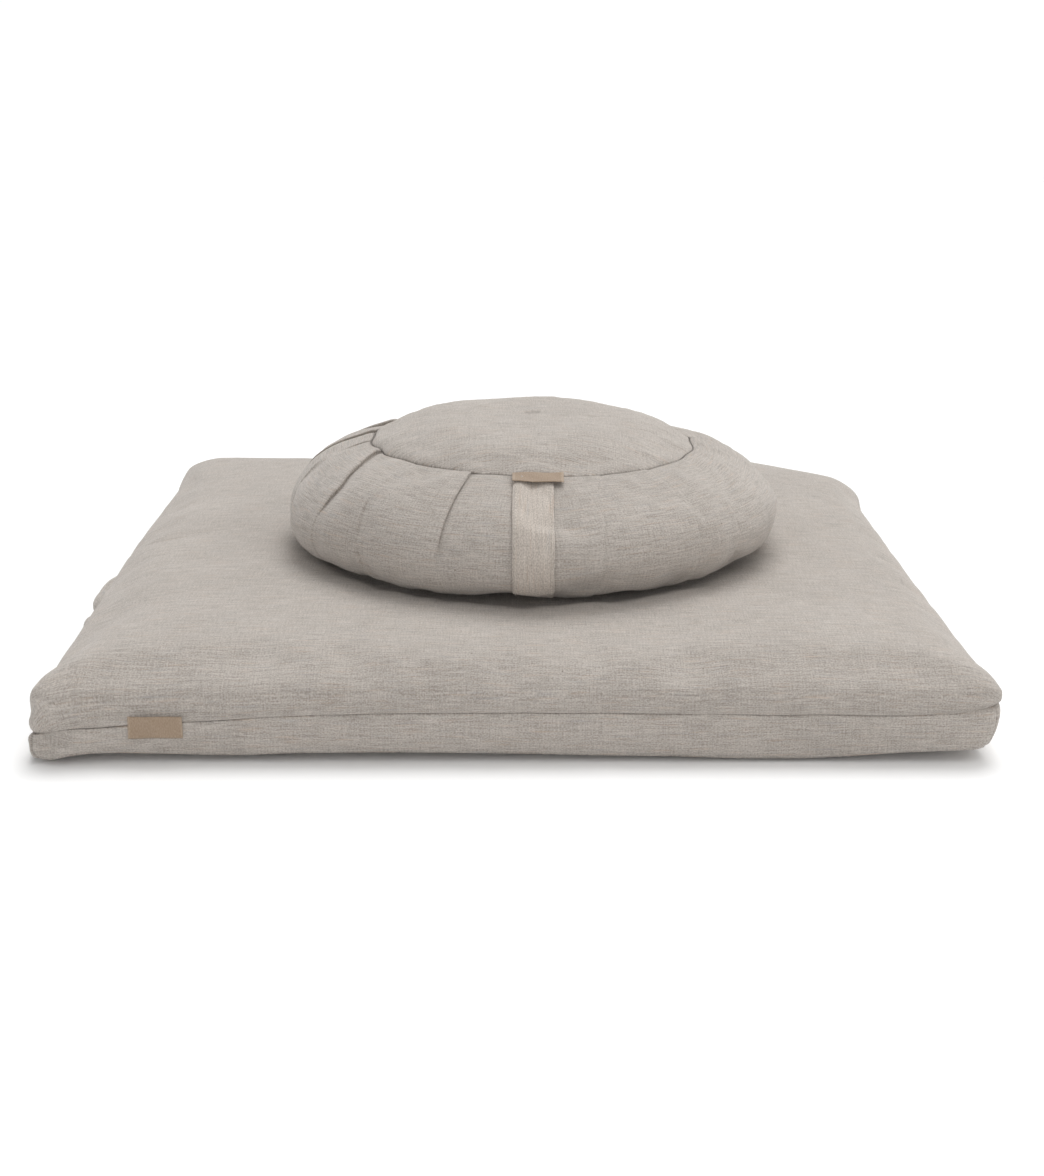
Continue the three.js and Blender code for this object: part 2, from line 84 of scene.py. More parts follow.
class Wire:
    """What a shader node puts out. Arithmetic on it adds Math nodes."""

    def __init__(self, tree, socket=None):
        self.tree = tree
        self.socket = socket

    def node(self, kind, settings=None, inputs=None, output=0):
        """Adds a node: its settings first, then the values or links of its sockets."""
        made = self.tree.nodes.new(kind)
        for name, value in (settings or {}).items():
            if name == "stops":
                elements = made.color_ramp.elements
                while len(elements) < len(value):
                    elements.new(1)
                for element, (place, grey) in zip(elements, value):
                    element.position = place
                    element.color = (grey, grey, grey, 1)
            else:
                setattr(made, name, value)
        for name, value in (inputs or {}).items():
            if isinstance(value, Wire):
                self.tree.links.new(value.socket, made.inputs[name])
            else:
                made.inputs[name].default_value = value
        return Wire(self.tree, made.outputs[output])

    def math(self, operation, *values):
        return self.node("ShaderNodeMath", {"operation": operation}, dict(enumerate(values)))

    def __add__(self, other):
        return self.math("ADD", self, other)

    __radd__ = __add__

    def __sub__(self, other):
        return self.math("SUBTRACT", self, other)

    def __rsub__(self, other):
        return self.math("SUBTRACT", other, self)

    def __mul__(self, other):
        return self.math("MULTIPLY", self, other)

    __rmul__ = __mul__

    def parts(self):
        """The three numbers of a vector."""
        return [self.node("ShaderNodeSeparateXYZ", inputs={0: self}, output=i) for i in range(3)]

    def vector(self, x, y, z=0.0):
        return self.node("ShaderNodeCombineXYZ", inputs={0: x, 1: y, 2: z})

    def stretched(self, x, y, z):
        """A place measured in steps of 1/x, 1/y and 1/z metres."""
        return self.node("ShaderNodeVectorMath", {"operation": "MULTIPLY"}, {0: self, 1: (x, y, z)})

    def wave(self, pitch):
        """A sine that repeats every pitch metres."""
        turned = self * (2 * math.pi / pitch)
        return turned.math("SINE", turned)

    def noise(self, place, detail=2.0, roughness=0.5):
        settings = {"noise_dimensions": "3D"}
        inputs = {"Vector": place, "Scale": 1.0, "Detail": detail, "Roughness": roughness}
        return self.node("ShaderNodeTexNoise", settings, inputs)

    def between(self, low, high):
        """0 below low, 1 above high."""
        settings = {"interpolation_type": "SMOOTHSTEP"}
        return self.node("ShaderNodeMapRange", settings, {"Value": self, "From Min": low, "From Max": high})

    def blend(self, mask, first, second, how="MIX"):
        """Mixes two colours by a mask."""
        settings = {"data_type": "RGBA", "blend_type": how}
        return self.node("ShaderNodeMix", settings, {0: mask, 6: first, 7: second}, output=2)

    def into(self, shader, socket):
        """Feeds this into a shader's socket."""
        self.tree.links.new(self.socket, shader.inputs[socket])

    def bump(self, height, distance, under=None):
        inputs = {"Height": height, "Distance": distance, "Strength": 1.0}
        if under is not None:
            inputs["Normal"] = under
        return self.node("ShaderNodeBump", inputs=inputs)


def new_material(name, roughness, **fixed):
    """A Principled material with its fixed values set on its own sockets."""
    material = bpy.data.materials.new(name)
    material.use_nodes = True
    shader = material.node_tree.nodes["Principled BSDF"]
    shader.inputs["Roughness"].default_value = roughness
    for socket, value in fixed.items():
        shader.inputs[socket.replace("_", " ")].default_value = value
    return material, shader, Wire(material.node_tree)


# The studio is white all round near the ground, and dimmer overhead.
scene.world = bpy.data.worlds.new("studio")
scene.world.use_nodes = True
sky = Wire(scene.world.node_tree)
height_of_view = sky.node("ShaderNodeTexCoord", output=0).parts()[2]
dimmer = 1.02 - height_of_view.between(0.28, 0.60) * 0.55
background = scene.world.node_tree.nodes["Background"]
dimmer.into(background, "Strength")
background.inputs["Color"].default_value = (1, 1, 1, 1)

floor_bm = bmesh.new()
bmesh.ops.create_grid(floor_bm, x_segments=1, y_segments=1, size=6)
bmesh.ops.translate(floor_bm, vec=(0, 0, -0.0004), verts=floor_bm.verts)
floor_mesh = bpy.data.meshes.new("floor")
floor_bm.to_mesh(floor_mesh)
floor = link("floor", floor_mesh)
floor_paint, floor_shader, _ = new_material("white_floor", 0.8)
floor_shader.inputs["Base Color"].default_value = (0.97, 0.97, 0.97, 1)
floor.data.materials.append(floor_paint)


# ---- Both covers are sewn from one bolt of natural flax linen in plain weave.
# The yarn is uneven: pale, grey and faintly rusty slubs run along the weft, fewer along the warp.
CLOTH = "cloth"  # each point's place on the flat cloth, in metres: weft, then warp


def linen(name, tint=(1, 1, 1), weft_slubs=1.0, warp_slubs=0.5):
    material, shader, start = new_material(name, 0.92, Specular_IOR_Level=0.25, Sheen_Weight=0.2)
    shader.inputs["Sheen Roughness"].default_value = 0.55
    place = start.node("ShaderNodeAttribute", {"attribute_name": CLOTH}, output=1)
    along, across, _ = place.parts()

    def streaks(length, width, seed, first=along, second=across, detail=2.0):
        """Yarn-like streaks: noise drawn out along one direction."""
        return start.noise(start.vector(first * (1 / length), second * (1 / width), seed), detail)

    weft = streaks(0.018, 0.0010, 3.0)
    weft_wide = streaks(0.045, 0.0021, 11.0)
    warp = streaks(0.018, 0.0010, 23.0, across, along)
    grain = streaks(0.0015, 0.0010, 29.0, detail=1.0)
    cloudy = start.noise(start.vector(along * 14, across * 14, 4.0), 3.0)
    tone = (
        0.5
        + (weft - 0.5) * (0.62 * weft_slubs)
        + (weft_wide - 0.5) * (0.24 * weft_slubs)
        + (grain - 0.5) * 0.75
        + (warp - 0.5) * (0.7 * warp_slubs)
        + (cloudy - 0.5) * 0.16
    )
    colour = start.blend(
        tone.between(0.15, 0.85),
        (0.280 * tint[0], 0.248 * tint[1], 0.219 * tint[2], 1),
        (0.562 * tint[0], 0.516 * tint[1], 0.472 * tint[2], 1),
    )
    rusty = streaks(0.03, 0.0016, 37.0).between(0.56, 0.74)
    colour = start.blend(rusty * 0.40, colour, (0.50, 0.375, 0.285, 1))
    blue_grey = streaks(0.035, 0.0018, 51.0).between(0.58, 0.74)
    colour = start.blend(blue_grey * 0.30, colour, (0.30, 0.31, 0.325, 1))
    pale = streaks(0.012, 0.0012, 67.0, detail=3.0).between(0.66, 0.78)
    colour = start.blend(pale * 0.42, colour, (0.72, 0.69, 0.65, 1))
    cell = start.node(
        "ShaderNodeTexVoronoi", {"feature": "F1"}, {"Vector": place, "Scale": 75.0, "Randomness": 1.0}
    )
    rare = start.noise(start.vector(along * 40, across * 40, 9.0), 0.0).between(0.60, 0.66)
    fleck = (1 - cell.between(0.03, 0.055)) * rare
    colour = start.blend(fleck * 0.7, colour, (0.10, 0.075, 0.05, 1))
    colour.into(shader, "Base Color")

    weave = along.wave(0.0011) * across.wave(0.0011)
    relief = weave * 0.35 + (weft - 0.5) * 1.6 + (warp - 0.5) * (1.6 * warp_slubs) + pale * 0.4
    creases = start.noise(start.vector(along * 55, across * 55, 2.0), 4.0, 0.6)
    fine = start.bump(relief, 0.00022)
    start.bump(creases, 0.0012, fine).into(shader, "Normal")
    return material


mat_linen = linen("natural_linen")


def cloth_layer(bm):
    found = bm.verts.layers.float_vector.get(CLOTH)
    return found or bm.verts.layers.float_vector.new(CLOTH)


def bump_at(place, middle, width, power=2):
    """1 at the middle, and down to nothing a few widths away."""
    return math.exp(-(((place - middle) / width) ** power))


def ripple(x, y, z):
    """Smooth noise, about -1 to 1."""
    return noise.noise(Vector((x, y, z)))


def thicken(piece, name, thickness, offset=-1):
    solid = piece.modifiers.new(name, "SOLIDIFY")
    solid.thickness = thickness
    solid.offset = offset


def finer(piece, name):
    subdivision = piece.modifiers.new(name, "SUBSURF")
    subdivision.levels = subdivision.render_levels = 1


def smooth_step(low, high, value):
    t = min(max((value - low) / (high - low), 0.0), 1.0)
    return t * t * (3 - 2 * t)


def finish_mesh(name, bm, material):
    """Turns a bmesh into a smooth-shaded piece."""
    mesh = bpy.data.meshes.new(name)
    bm.to_mesh(mesh)
    bm.free()
    mesh.shade_smooth()
    mesh.materials.append(material)
    return link(name, mesh)


# ---- The mat's cover starts as one skin: the top panel, blown up by the batting under it,
# and the boxing that is sewn to its edge. Cloth simulation slackens it, and then it is cut
# at its seams into panels. The seams are gathered a little by their stitches.
CENTRE_X, CENTRE_Y = 0.013, -0.030  # where the round cushion lies on the mat
CENTRE = Vector((CENTRE_X, CENTRE_Y))
box_low, box_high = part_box("mat_boxing_right")
half_width = box_high.x
half_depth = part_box("mat_boxing_back_upper")[1].y
seam_low, seam_high = box_low.z, box_high.z
corner_radius = 0.016
MAT_CELLS = (92, 96)
EDGE_CROWDING = 1.3

# How far out from the boxing's face, and how high, the top panel runs from its seam inwards.
top_run = np.array([
    (0.0012, 0.0382), (0.0034, 0.0394), (0.0050, 0.0425), (0.0057, 0.0475), (0.0048, 0.0525),
    (0.0015, 0.0577), (-0.0060, 0.0628), (-0.0160, 0.0664), (-0.0420, 0.0710), (-0.0850, 0.0743),
    (-0.1280, 0.0757), (-0.2000, 0.0759), (-half_width, 0.0759),
])
run_length = np.concatenate([[0], np.cumsum(np.linalg.norm(np.diff(top_run, axis=0), axis=1))])


def top_at(run):
    """Distance out and height at a distance along the cloth from the seam."""
    return np.interp(run, run_length, top_run[:, 0]), np.interp(run, run_length, top_run[:, 1])


def from_seam(reach):
    """Distance along the cloth from the seam; the rows are closer together near it."""
    return (1 - reach) ** EDGE_CROWDING * run_length[-1]


def on_outline(u, v, out, radius):
    """The point in direction u, v of the square grid, on the mat's outline moved out by a distance."""
    reach = max(abs(u), abs(v), 1e-9)
    half_x = half_width + out
    half_y = half_depth + (out * half_depth / half_width if out < 0 else out)
    x, y = u / reach * half_x, v / reach * half_y
    over_x, over_y = abs(x) - (half_x - radius), abs(y) - (half_y - radius)
    if over_x > 0 and over_y > 0:
        angle = math.atan2(over_y, over_x)
        x = math.copysign(half_x - radius + radius * math.cos(angle), x)
        y = math.copysign(half_y - radius + radius * math.sin(angle), y)
    return x, y


def side_of(u, v):
    """0 front, 1 right, 2 back, 3 left."""
    if abs(v) > abs(u):
        return 2 if v > 0 else 0
    return 1 if u > 0 else 3


# Where the front seam and the front lower edge leave their straight lines: x, then seam, then edge.
front_sag = np.array([
    (-0.352, -0.0190, 0.0000), (-0.340, -0.0165, 0.0020), (-0.318, -0.0090, 0.0062), (-0.292, -0.0065, 0.0050),
    (-0.250, -0.0044, 0.0038), (-0.205, -0.0026, 0.0026), (-0.160, -0.0011, 0.0044), (-0.110, 0.0003, 0.0050),
    (0.010, 0.0002, 0.0030), (0.130, 0.0000, 0.0012), (0.190, -0.0004, 0.0000), (0.240, 0.0016, 0.0014),
    (0.290, 0.0006, 0.0050), (0.320, 0.0008, 0.0064), (0.352, 0.0034, 0.0078),
])


def sag(x, y, depth):
    """How far a point of the boxing rises or falls: depth is 0 on the seam and 1 on the lower edge."""
    seam = np.interp(x, front_sag[:, 0], front_sag[:, 1])
    edge = np.interp(x, front_sag[:, 0], front_sag[:, 2])
    front = smooth_step(-half_depth + 0.11, -half_depth + 0.01, y)
    rough = 0.0012 * ripple(x * 12, y * 12, depth * 2)
    return front * (seam * (1 - depth) + edge * depth) + rough


FRONT, RIGHT, BACK, LEFT, BACK_UPPER, CUT_AWAY = 1, 2, 3, 4, 5, 9
mat_bm = bmesh.new()
bmesh.ops.create_grid(mat_bm, x_segments=MAT_CELLS[0], y_segments=MAT_CELLS[1], size=1)
panel = mat_bm.faces.layers.int.new("panel")
cloth = cloth_layer(mat_bm)
grid_place = mat_bm.verts.layers.float_vector.new("grid")
for vert in mat_bm.verts:
    u, v = vert.co.x, vert.co.y
    reach = max(abs(u), abs(v))
    out, height = top_at(from_seam(reach))
    radius = min(corner_radius + 0.6 * max(-out, 0), 0.4 * (half_width + out) + 0.001)
    vert[grid_place] = (u, v, from_seam(reach))
    x, y = on_outline(u, v, out, radius)
    y = on_outline(u, v, min(out, 0.0026), radius)[1]
    # the cloth's own length goes on past the place it has in plan, round the edge
    past = run_length[-1] - from_seam(reach) - (half_width + out)
    aside = Vector((max(abs(x) - half_width + 0.05, 0), max(abs(y) - half_depth + 0.05, 0))).normalized()
    vert[cloth] = (x + math.copysign(aside.x * past, x), y + math.copysign(aside.y * past, y), 0)
    vert.co = (x, y, height)

rim = [edge for edge in mat_bm.edges if edge.is_boundary]
boxing_rows = (
    (0.0028, 0.0008, 0.0370), (0.0040, 0.0016, 0.0330), (0.0042, 0.0017, 0.0275), (0.0040, 0.0016, 0.0213),
    (0.0034, 0.0012, 0.0150), (0.0024, 0.0006, 0.0095), (0.0010, -0.0002, 0.0050), (-0.0012, -0.0014, 0.0024),
)
ZIP_SLOT_HALF = 0.2905
for aside, ahead, height in boxing_rows:
    made = bmesh.ops.extrude_edge_only(mat_bm, edges=rim)["geom"]
    rim = [e for e in made if isinstance(e, bmesh.types.BMEdge) and e.is_boundary]
    for vert in {vert for edge in rim for vert in edge.verts}:
        u, v, _ = vert[grid_place]
        x, y = on_outline(u, v, aside, corner_radius)[0], on_outline(u, v, ahead, corner_radius)[1]
        vert.co = (x, y, height)
        vert[grid_place] = (u, v, height - seam_high - 0.001)
    for face in (f for f in made if isinstance(f, bmesh.types.BMFace)):
        middle = sum((vert[grid_place] for vert in face.verts), Vector()) / len(face.verts)
        face[panel] = 1 + side_of(middle.x, middle.y)
        if face[panel] == BACK and height > 0.0205:
            face[panel] = BACK_UPPER
        in_slot = abs(middle.x) * half_width < ZIP_SLOT_HALF and 0.014 < height < 0.026
        if face[panel] in (BACK, BACK_UPPER) and in_slot:
            face[panel] = CUT_AWAY
mat_skin = finish_mesh("mat_skin", mat_bm, mat_linen)


def points_of(mesh):
    found = np.empty(len(mesh.vertices) * 3, np.float32)
    mesh.vertices.foreach_get("co", found)
    return found.reshape(-1, 3).astype(float)


def set_points(mesh, points):
    mesh.vertices.foreach_set("co", np.asarray(points, np.float32).ravel())
    mesh.update()


def read_layer(mesh, name):
    found = np.empty(len(mesh.vertices) * 3, np.float32)
    mesh.attributes[name].data.foreach_get("vector", found)
    return found.reshape(-1, 3).astype(float)


def simulate(piece, held, gathered, slack, gather, pressure, cap, frames=20):
    """Lets a sewn skin take up its filling's pressure: held and gathered are weights for each point."""
    before = points_of(piece.data)
    for name, weights in (("held", held), ("gathered", gathered)):
        group = piece.vertex_groups.new(name=name)
        for index, weight in enumerate(weights):
            if weight > 0.001:
                group.add([index], float(weight), "REPLACE")
    modifier = piece.modifiers.new("cloth", "CLOTH")
    settings = modifier.settings
    settings.quality = 6
    settings.mass = 0.3
    settings.tension_stiffness = 25
    settings.compression_stiffness = 25
    settings.shear_stiffness = 8
    settings.bending_stiffness = 0.3
    settings.vertex_group_mass = "held"
    settings.pin_stiffness = 1
    settings.vertex_group_shrink = "gathered"
    settings.shrink_min = -slack
    settings.shrink_max = gather
    settings.use_pressure = True
    settings.uniform_pressure_force = pressure
    settings.effector_weights.gravity = 0
    modifier.collision_settings.use_collision = False
    modifier.point_cache.frame_start = 1
    modifier.point_cache.frame_end = frames
    for number in range(1, frames + 1):
        scene.frame_set(number)
    shape = piece.evaluated_get(bpy.context.evaluated_depsgraph_get()).to_mesh()
    moved = points_of(shape) - before
    piece.modifiers.remove(modifier)
    piece.vertex_groups.clear()
    scene.frame_set(1)
    length = np.linalg.norm(moved, axis=1, keepdims=True)
    moved *= np.minimum(1, cap / np.maximum(length, 1e-9))
    set_points(piece.data, before + moved)


grid = read_layer(mat_skin.data, "grid")
from_edge = grid[:, 2]
on_seam = np.exp(-((from_edge / 0.006) ** 2))
points = points_of(mat_skin.data)
on_boxing = from_edge < 0
lower_rim = np.isclose(from_edge, from_edge.min())
rim_as_cut = points[lower_rim].copy()
depth = np.where(on_boxing, np.clip(-from_edge / (seam_high - 0.0022), 0, 1), 0)
for i, (x, y, z) in enumerate(points):
    near = 1.0 if on_boxing[i] else math.exp(-from_edge[i] / 0.016)
    points[i, 2] += near * sag(x, y, depth[i])
    # loose cloth of the boxing pushes out in two lumps on the left side
    if on_boxing[i] and x < -half_width + 0.03:
        lump = 0.0195 * bump_at(y, -0.035, 0.048, 4) + 0.014 * bump_at(y, -0.125, 0.016)
        points[i, 0] -= lump * math.sin(math.pi * min(1, 0.12 + 0.88 * depth[i])) ** 0.7
# the sides draw in a little between the corners, and the top swells and dips with the batting;
# the left side is fuller than the right towards the back
DRAWN_IN = 0.0035
LEFT_FULLER = 0.013
UNDER_ZAFU = 0.0755  # height of the mat's top where the round cushion lies on it
for i, (x, y, z) in enumerate(points):
    along_x, along_y = x / half_width, y / half_depth
    edge_x, edge_y = smooth_step(0.80, 1.0, abs(along_x)), smooth_step(0.80, 1.0, abs(along_y))
    is_zip = y > half_depth - 0.02 and on_boxing[i]
    points[i, 0] -= math.copysign(DRAWN_IN * edge_x * max(0, 1 - along_y**2), x)
    if x < 0:
        points[i, 0] -= LEFT_FULLER * edge_x * smooth_step(-0.95, 0.35, along_y)
    elif on_boxing[i]:
        points[i, 0] += 0.001 * edge_x * smooth_step(0.4, 0.95, -along_y)
    if not is_zip:
        points[i, 1] -= math.copysign(DRAWN_IN * edge_y * max(0, 1 - along_x**2), y)
    if not on_boxing[i]:
        swell = ripple(x * 5.5, y * 5.5, 0.3) * 0.0022 + ripple(x * 15, y * 15, 7) * 0.0009
        points[i, 2] += swell * smooth_step(0, 0.05, from_edge[i])
        # a shallow hollow under the round cushion
        from_zafu = math.hypot(x - CENTRE_X, y - CENTRE_Y)
        flat = 1 - smooth_step(0.165, 0.215, from_zafu)
        points[i, 2] = points[i, 2] * (1 - flat) + UNDER_ZAFU * flat
    # the right corner at the back is slack: it is lower, and spreads to the side
    slack_corner = smooth_step(0.20, 0.34, x) * smooth_step(0.22, 0.35, y)
    if not is_zip:
        points[i, 2] -= 0.017 * slack_corner * smooth_step(0.02, 0.07, z)
        points[i, 0] += 0.007 * smooth_step(0.31, 0.35, x) * bump_at(y, 0.28, 0.06)
# the left front corner isn't filled, so its cloth stands in folds and its tip sticks out
for i, (x, y, z) in enumerate(points):
    corner = math.hypot(x + half_width, y + half_depth)
    crumple = 1 - smooth_step(0.010, 0.060, corner)
    if crumple > 0:
        outward = np.array([x + half_width - 0.035, y + half_depth - 0.035])
        outward /= np.linalg.norm(outward)
        folds = 0.0085 * ripple(x * 62, y * 62, z * 24 + 5) + 0.003 * noise.noise(Vector((x, y, z)) * 150)
        tip = 0.007 * bump_at(z, 0, 0.012) if on_boxing[i] else 0.0
        knob = 0.004 * bump_at(z, 0.052, 0.008) - 0.003 * bump_at(z, 0.040, 0.005)
        points[i, :2] += outward * crumple * (folds + tip + knob + 0.001)
        points[i, 2] += crumple * ripple(x * 60, y * 60, z * 40) * 0.004
set_points(mat_skin.data, points)

start = points_of(mat_skin.data)
# the gathered seams draw the cover in, so it starts that much larger
ease = 0.0062 * np.where(on_boxing, 1 - depth, np.exp(-np.abs(from_edge) / 0.09))
for i, (x, y, z) in enumerate(start):
    start[i, 0] += math.copysign(ease[i] * smooth_step(0.7, 0.97, abs(x) / half_width), x)
set_points(mat_skin.data, start)
under_zafu = np.hypot(start[:, 0] - CENTRE_X, start[:, 1] - CENTRE_Y) < 0.19
held = np.where(from_edge < -seam_high + 0.004, 1.0, 0.0)
held = np.maximum(held, np.where((from_edge > 0.05) & under_zafu, 1.0, 0.0))
at_zip = on_boxing & (start[:, 1] > half_depth - 0.02) & (np.abs(start[:, 0]) < 0.31)
held = np.maximum(held, np.where(at_zip, 1.0, 0.0))
held = np.maximum(held, 0.35 * on_seam)
simulate(mat_skin, held, on_seam, 0.010, 0.02, 2.0, 0.006)

# Small puckers where the stitches gather the cloth, most of all beside the seam.
points = points_of(mat_skin.data)
normals = np.array([vert.normal for vert in mat_skin.data.vertices])
for i, (x, y, z) in enumerate(points):
    pucker = ripple(x * 75, y * 75, z * 9) * 0.0011
    near = math.exp(-((from_edge[i] / 0.011) ** 2)) if abs(from_edge[i]) > 0.0005 else 0.25
    points[i] += normals[i] * pucker * near
set_points(mat_skin.data, points)
rim_shift = points[lower_rim] - rim_as_cut


def turn_in_rim(bm, depth):
    """Gives every free edge of a panel a seam allowance that is turned into the cushion."""
    inwards = bm.verts.layers.float_vector["inwards"]
    rim = [edge for edge in bm.edges if edge.is_boundary]
    made = bmesh.ops.extrude_edge_only(bm, edges=rim)["geom"]
    for vert in (v for v in made if isinstance(v, bmesh.types.BMVert)):
        vert.co += vert[inwards] * depth


def cut_panel(name, skin, wanted, cloth_place, material, allowance=0.004, thickness=0.0009):
    """Cuts one panel out of a sewn skin and lays out its weave."""
    bm = bmesh.new()
    bm.from_mesh(skin.data)
    bm.normal_update()
    inwards = bm.verts.layers.float_vector.new("inwards")
    for vert in bm.verts:
        vert[inwards] = -vert.normal
    panel = bm.faces.layers.int["panel"]
    bmesh.ops.delete(bm, geom=[face for face in bm.faces if face[panel] != wanted], context="FACES")
    if cloth_place:
        cloth = bm.verts.layers.float_vector[CLOTH]
        for vert in bm.verts:
            vert[cloth] = cloth_place(vert.co)
    turn_in_rim(bm, allowance)
    piece = finish_mesh(name, bm, material)
    finer(piece, "finer_cloth")
    thicken(piece, "cloth_thickness", thickness)
    return piece


mat_panels = {
    "mat_top_cloth": (0, "mat_top_panel", None),
    "mat_front_boxing": (FRONT, "mat_boxing_front", lambda p: (p.x, p.z + 2, 0)),
    "mat_right_boxing": (RIGHT, "mat_boxing_right", lambda p: (p.y + 3, p.z, 0)),
    "mat_left_boxing": (LEFT, "mat_boxing_left", lambda p: (5 - p.y, p.z, 0)),
    "mat_back_boxing_lower": (BACK, "mat_boxing_back_lower", lambda p: (7 - p.x, p.z, 0)),
    "mat_back_boxing_upper": (BACK_UPPER, "mat_boxing_back_upper", lambda p: (9 - p.x, p.z, 0)),
}
for name, (number, node, weave) in mat_panels.items():
    piece = cut_panel(name, mat_skin, number, weave, mat_linen, 0.0022 if "back" in name else 0.004)
    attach(piece, "mat")
    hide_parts(node)

# ---- The mat's bottom panel lies flat on the floor and is sewn to the boxing's lower edge.
bottom_bm = bmesh.new()
bmesh.ops.create_grid(bottom_bm, x_segments=60, y_segments=62, size=1)
cloth = cloth_layer(bottom_bm)
for vert in bottom_bm.verts:
    u, v = vert.co.x, vert.co.y
    reach = max(abs(u), abs(v))
    run = (1 - reach) ** EDGE_CROWDING * half_width
    x, y = on_outline(u, v, -0.0022 - run, min(corner_radius + 0.6 * run, 0.4 * (half_width - run) + 0.001))
    # it follows the boxing's lower edge, and comes down to the floor behind it
    rim_here = on_outline(u / max(reach, 0.01), v / max(reach, 0.01), -0.0014, corner_radius)
    near = np.exp(-((np.linalg.norm(rim_as_cut[:, :2] - rim_here, axis=1) / 0.012) ** 2))
    shift = (near[:, None] * rim_shift).sum(0) / near.sum() * math.exp(-run / 0.045)
    vert[cloth] = (x + 11, y, 0)
    vert.co = (x + shift[0], y + shift[1], 0.0006 + 0.0014 * math.exp(-run / 0.045) + max(0, shift[2]))
bmesh.ops.reverse_faces(bottom_bm, faces=bottom_bm.faces)
inwards = bottom_bm.verts.layers.float_vector.new("inwards")
for vert in bottom_bm.verts:
    vert[inwards] = (0, 0, 1)
turn_in_rim(bottom_bm, 0.003)
mat_bottom = finish_mesh("mat_bottom_cloth", bottom_bm, mat_linen)
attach(mat_bottom, "mat")
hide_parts("mat_bottom_panel")

# ---- The mat's liner is a muslin bag with a seam round its middle, and the batting in it is
# a stack of three felted cotton layers. Both take the cover's inner shape.
muslin, shader, start = new_material("unbleached_muslin", 0.95)
place = start.node("ShaderNodeTexCoord", output=3)
yarns = start.noise(place.stretched(900, 240, 900))
colour = start.blend(yarns.between(0.3, 0.7), (0.70, 0.655, 0.54, 1), (0.84, 0.80, 0.70, 1))
colour.into(shader, "Base Color")
start.bump(yarns, 0.0003).into(shader, "Normal")

felted_cotton, shader, start = new_material("felted_cotton", 1.0)
place = start.node("ShaderNodeTexCoord", output=3)
tufts = start.noise(place.stretched(160, 160, 400), 5.0, 0.65)
colour = start.blend(tufts.between(0.3, 0.7), (0.74, 0.71, 0.62, 1), (0.90, 0.88, 0.81, 1))
colour.into(shader, "Base Color")
start.bump(tufts, 0.003).into(shader, "Normal")


def filling(name, skin, inset, material, body, node, low=None, high=None, keep=None, wall=None):
    """The space inside a skin, moved in by inset and cut between two heights, or its wall where keep says."""
    bm = bmesh.new()
    bm.from_mesh(skin.data)
    bmesh.ops.holes_fill(bm, edges=[edge for edge in bm.edges if edge.is_boundary], sides=0)
    bmesh.ops.recalc_face_normals(bm, faces=bm.faces)
    bm.normal_update()
    moves = [-vert.normal * inset for vert in bm.verts]
    for vert, move in zip(bm.verts, moves):
        vert.co += move
    for _ in range(3):
        bmesh.ops.smooth_vert(bm, verts=bm.verts, factor=0.5, use_axis_x=True, use_axis_y=True, use_axis_z=True)
    for height, keep_below in ((low, False), (high, True)):
        if height is None:
            continue
        cut = bmesh.ops.bisect_plane(
            bm, geom=[*bm.verts, *bm.edges, *bm.faces], plane_co=(0, 0, height), plane_no=(0, 0, 1),
            clear_outer=keep_below, clear_inner=not keep_below,
        )
        rim = [item for item in cut["geom_cut"] if isinstance(item, bmesh.types.BMEdge)]
        if wall is None:
            bmesh.ops.holes_fill(bm, edges=rim, sides=0)
    if keep:
        left_over = [face for face in bm.faces if not keep(face.calc_center_median())]
        bmesh.ops.delete(bm, geom=left_over, context="FACES")
    piece = finish_mesh(name, bm, material)
    if wall:
        thicken(piece, "cloth_thickness", wall)
    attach(piece, body)
    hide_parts(node)


for name, low, high in (("lower", None, 0.0299), ("upper", 0.0301, None)):
    filling(
        "mat_liner_cloth_" + name, mat_skin, 0.0072, muslin, "mat", "mat_liner_" + name,
        low=low, high=high, wall=0.0006,
    )
for name, low, high in (("lower", None, 0.0249), ("middle", 0.0251, 0.0449), ("upper", 0.0451, None)):
    filling(
        "mat_cotton_" + name, mat_skin, 0.0088, felted_cotton, "mat", "mat_batting_" + name,
        low=low, high=high,
    )
bpy.data.objects.remove(mat_skin)

# ---- The round cushion's cover: a domed top, a band that is pleated into it, a plain zipped
# panel at the back, and a round bottom. All its knife pleats are folded the same way round,
# and are held shut by the seams and open in between. It starts as one skin, as the mat's does.
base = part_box("zafu_bottom_panel")[0].z
ZIP_HEIGHT = 0.0366
SLOT_HALF = 0.006
BAND_ROWS = 37


def resample(run, count, passes=2):
    """Evenly spaced points along a section, with its corners rounded off."""
    for _ in range(passes):
        pairs = np.repeat(run, 2, axis=0)[1:-1].reshape(-1, 2, 2)
        cut = np.stack([pairs[:, 0] * 0.75 + pairs[:, 1] * 0.25, pairs[:, 0] * 0.25 + pairs[:, 1] * 0.75], 1)
        run = np.vstack([run[:1], cut.reshape(-1, 2)[1:-1], run[-1:]])
    length = np.concatenate([[0], np.cumsum(np.linalg.norm(np.diff(run, axis=0), axis=1))])
    places = np.linspace(0, length[-1], count)
    return np.stack([np.interp(places, length, run[:, 0]), np.interp(places, length, run[:, 1])], 1)


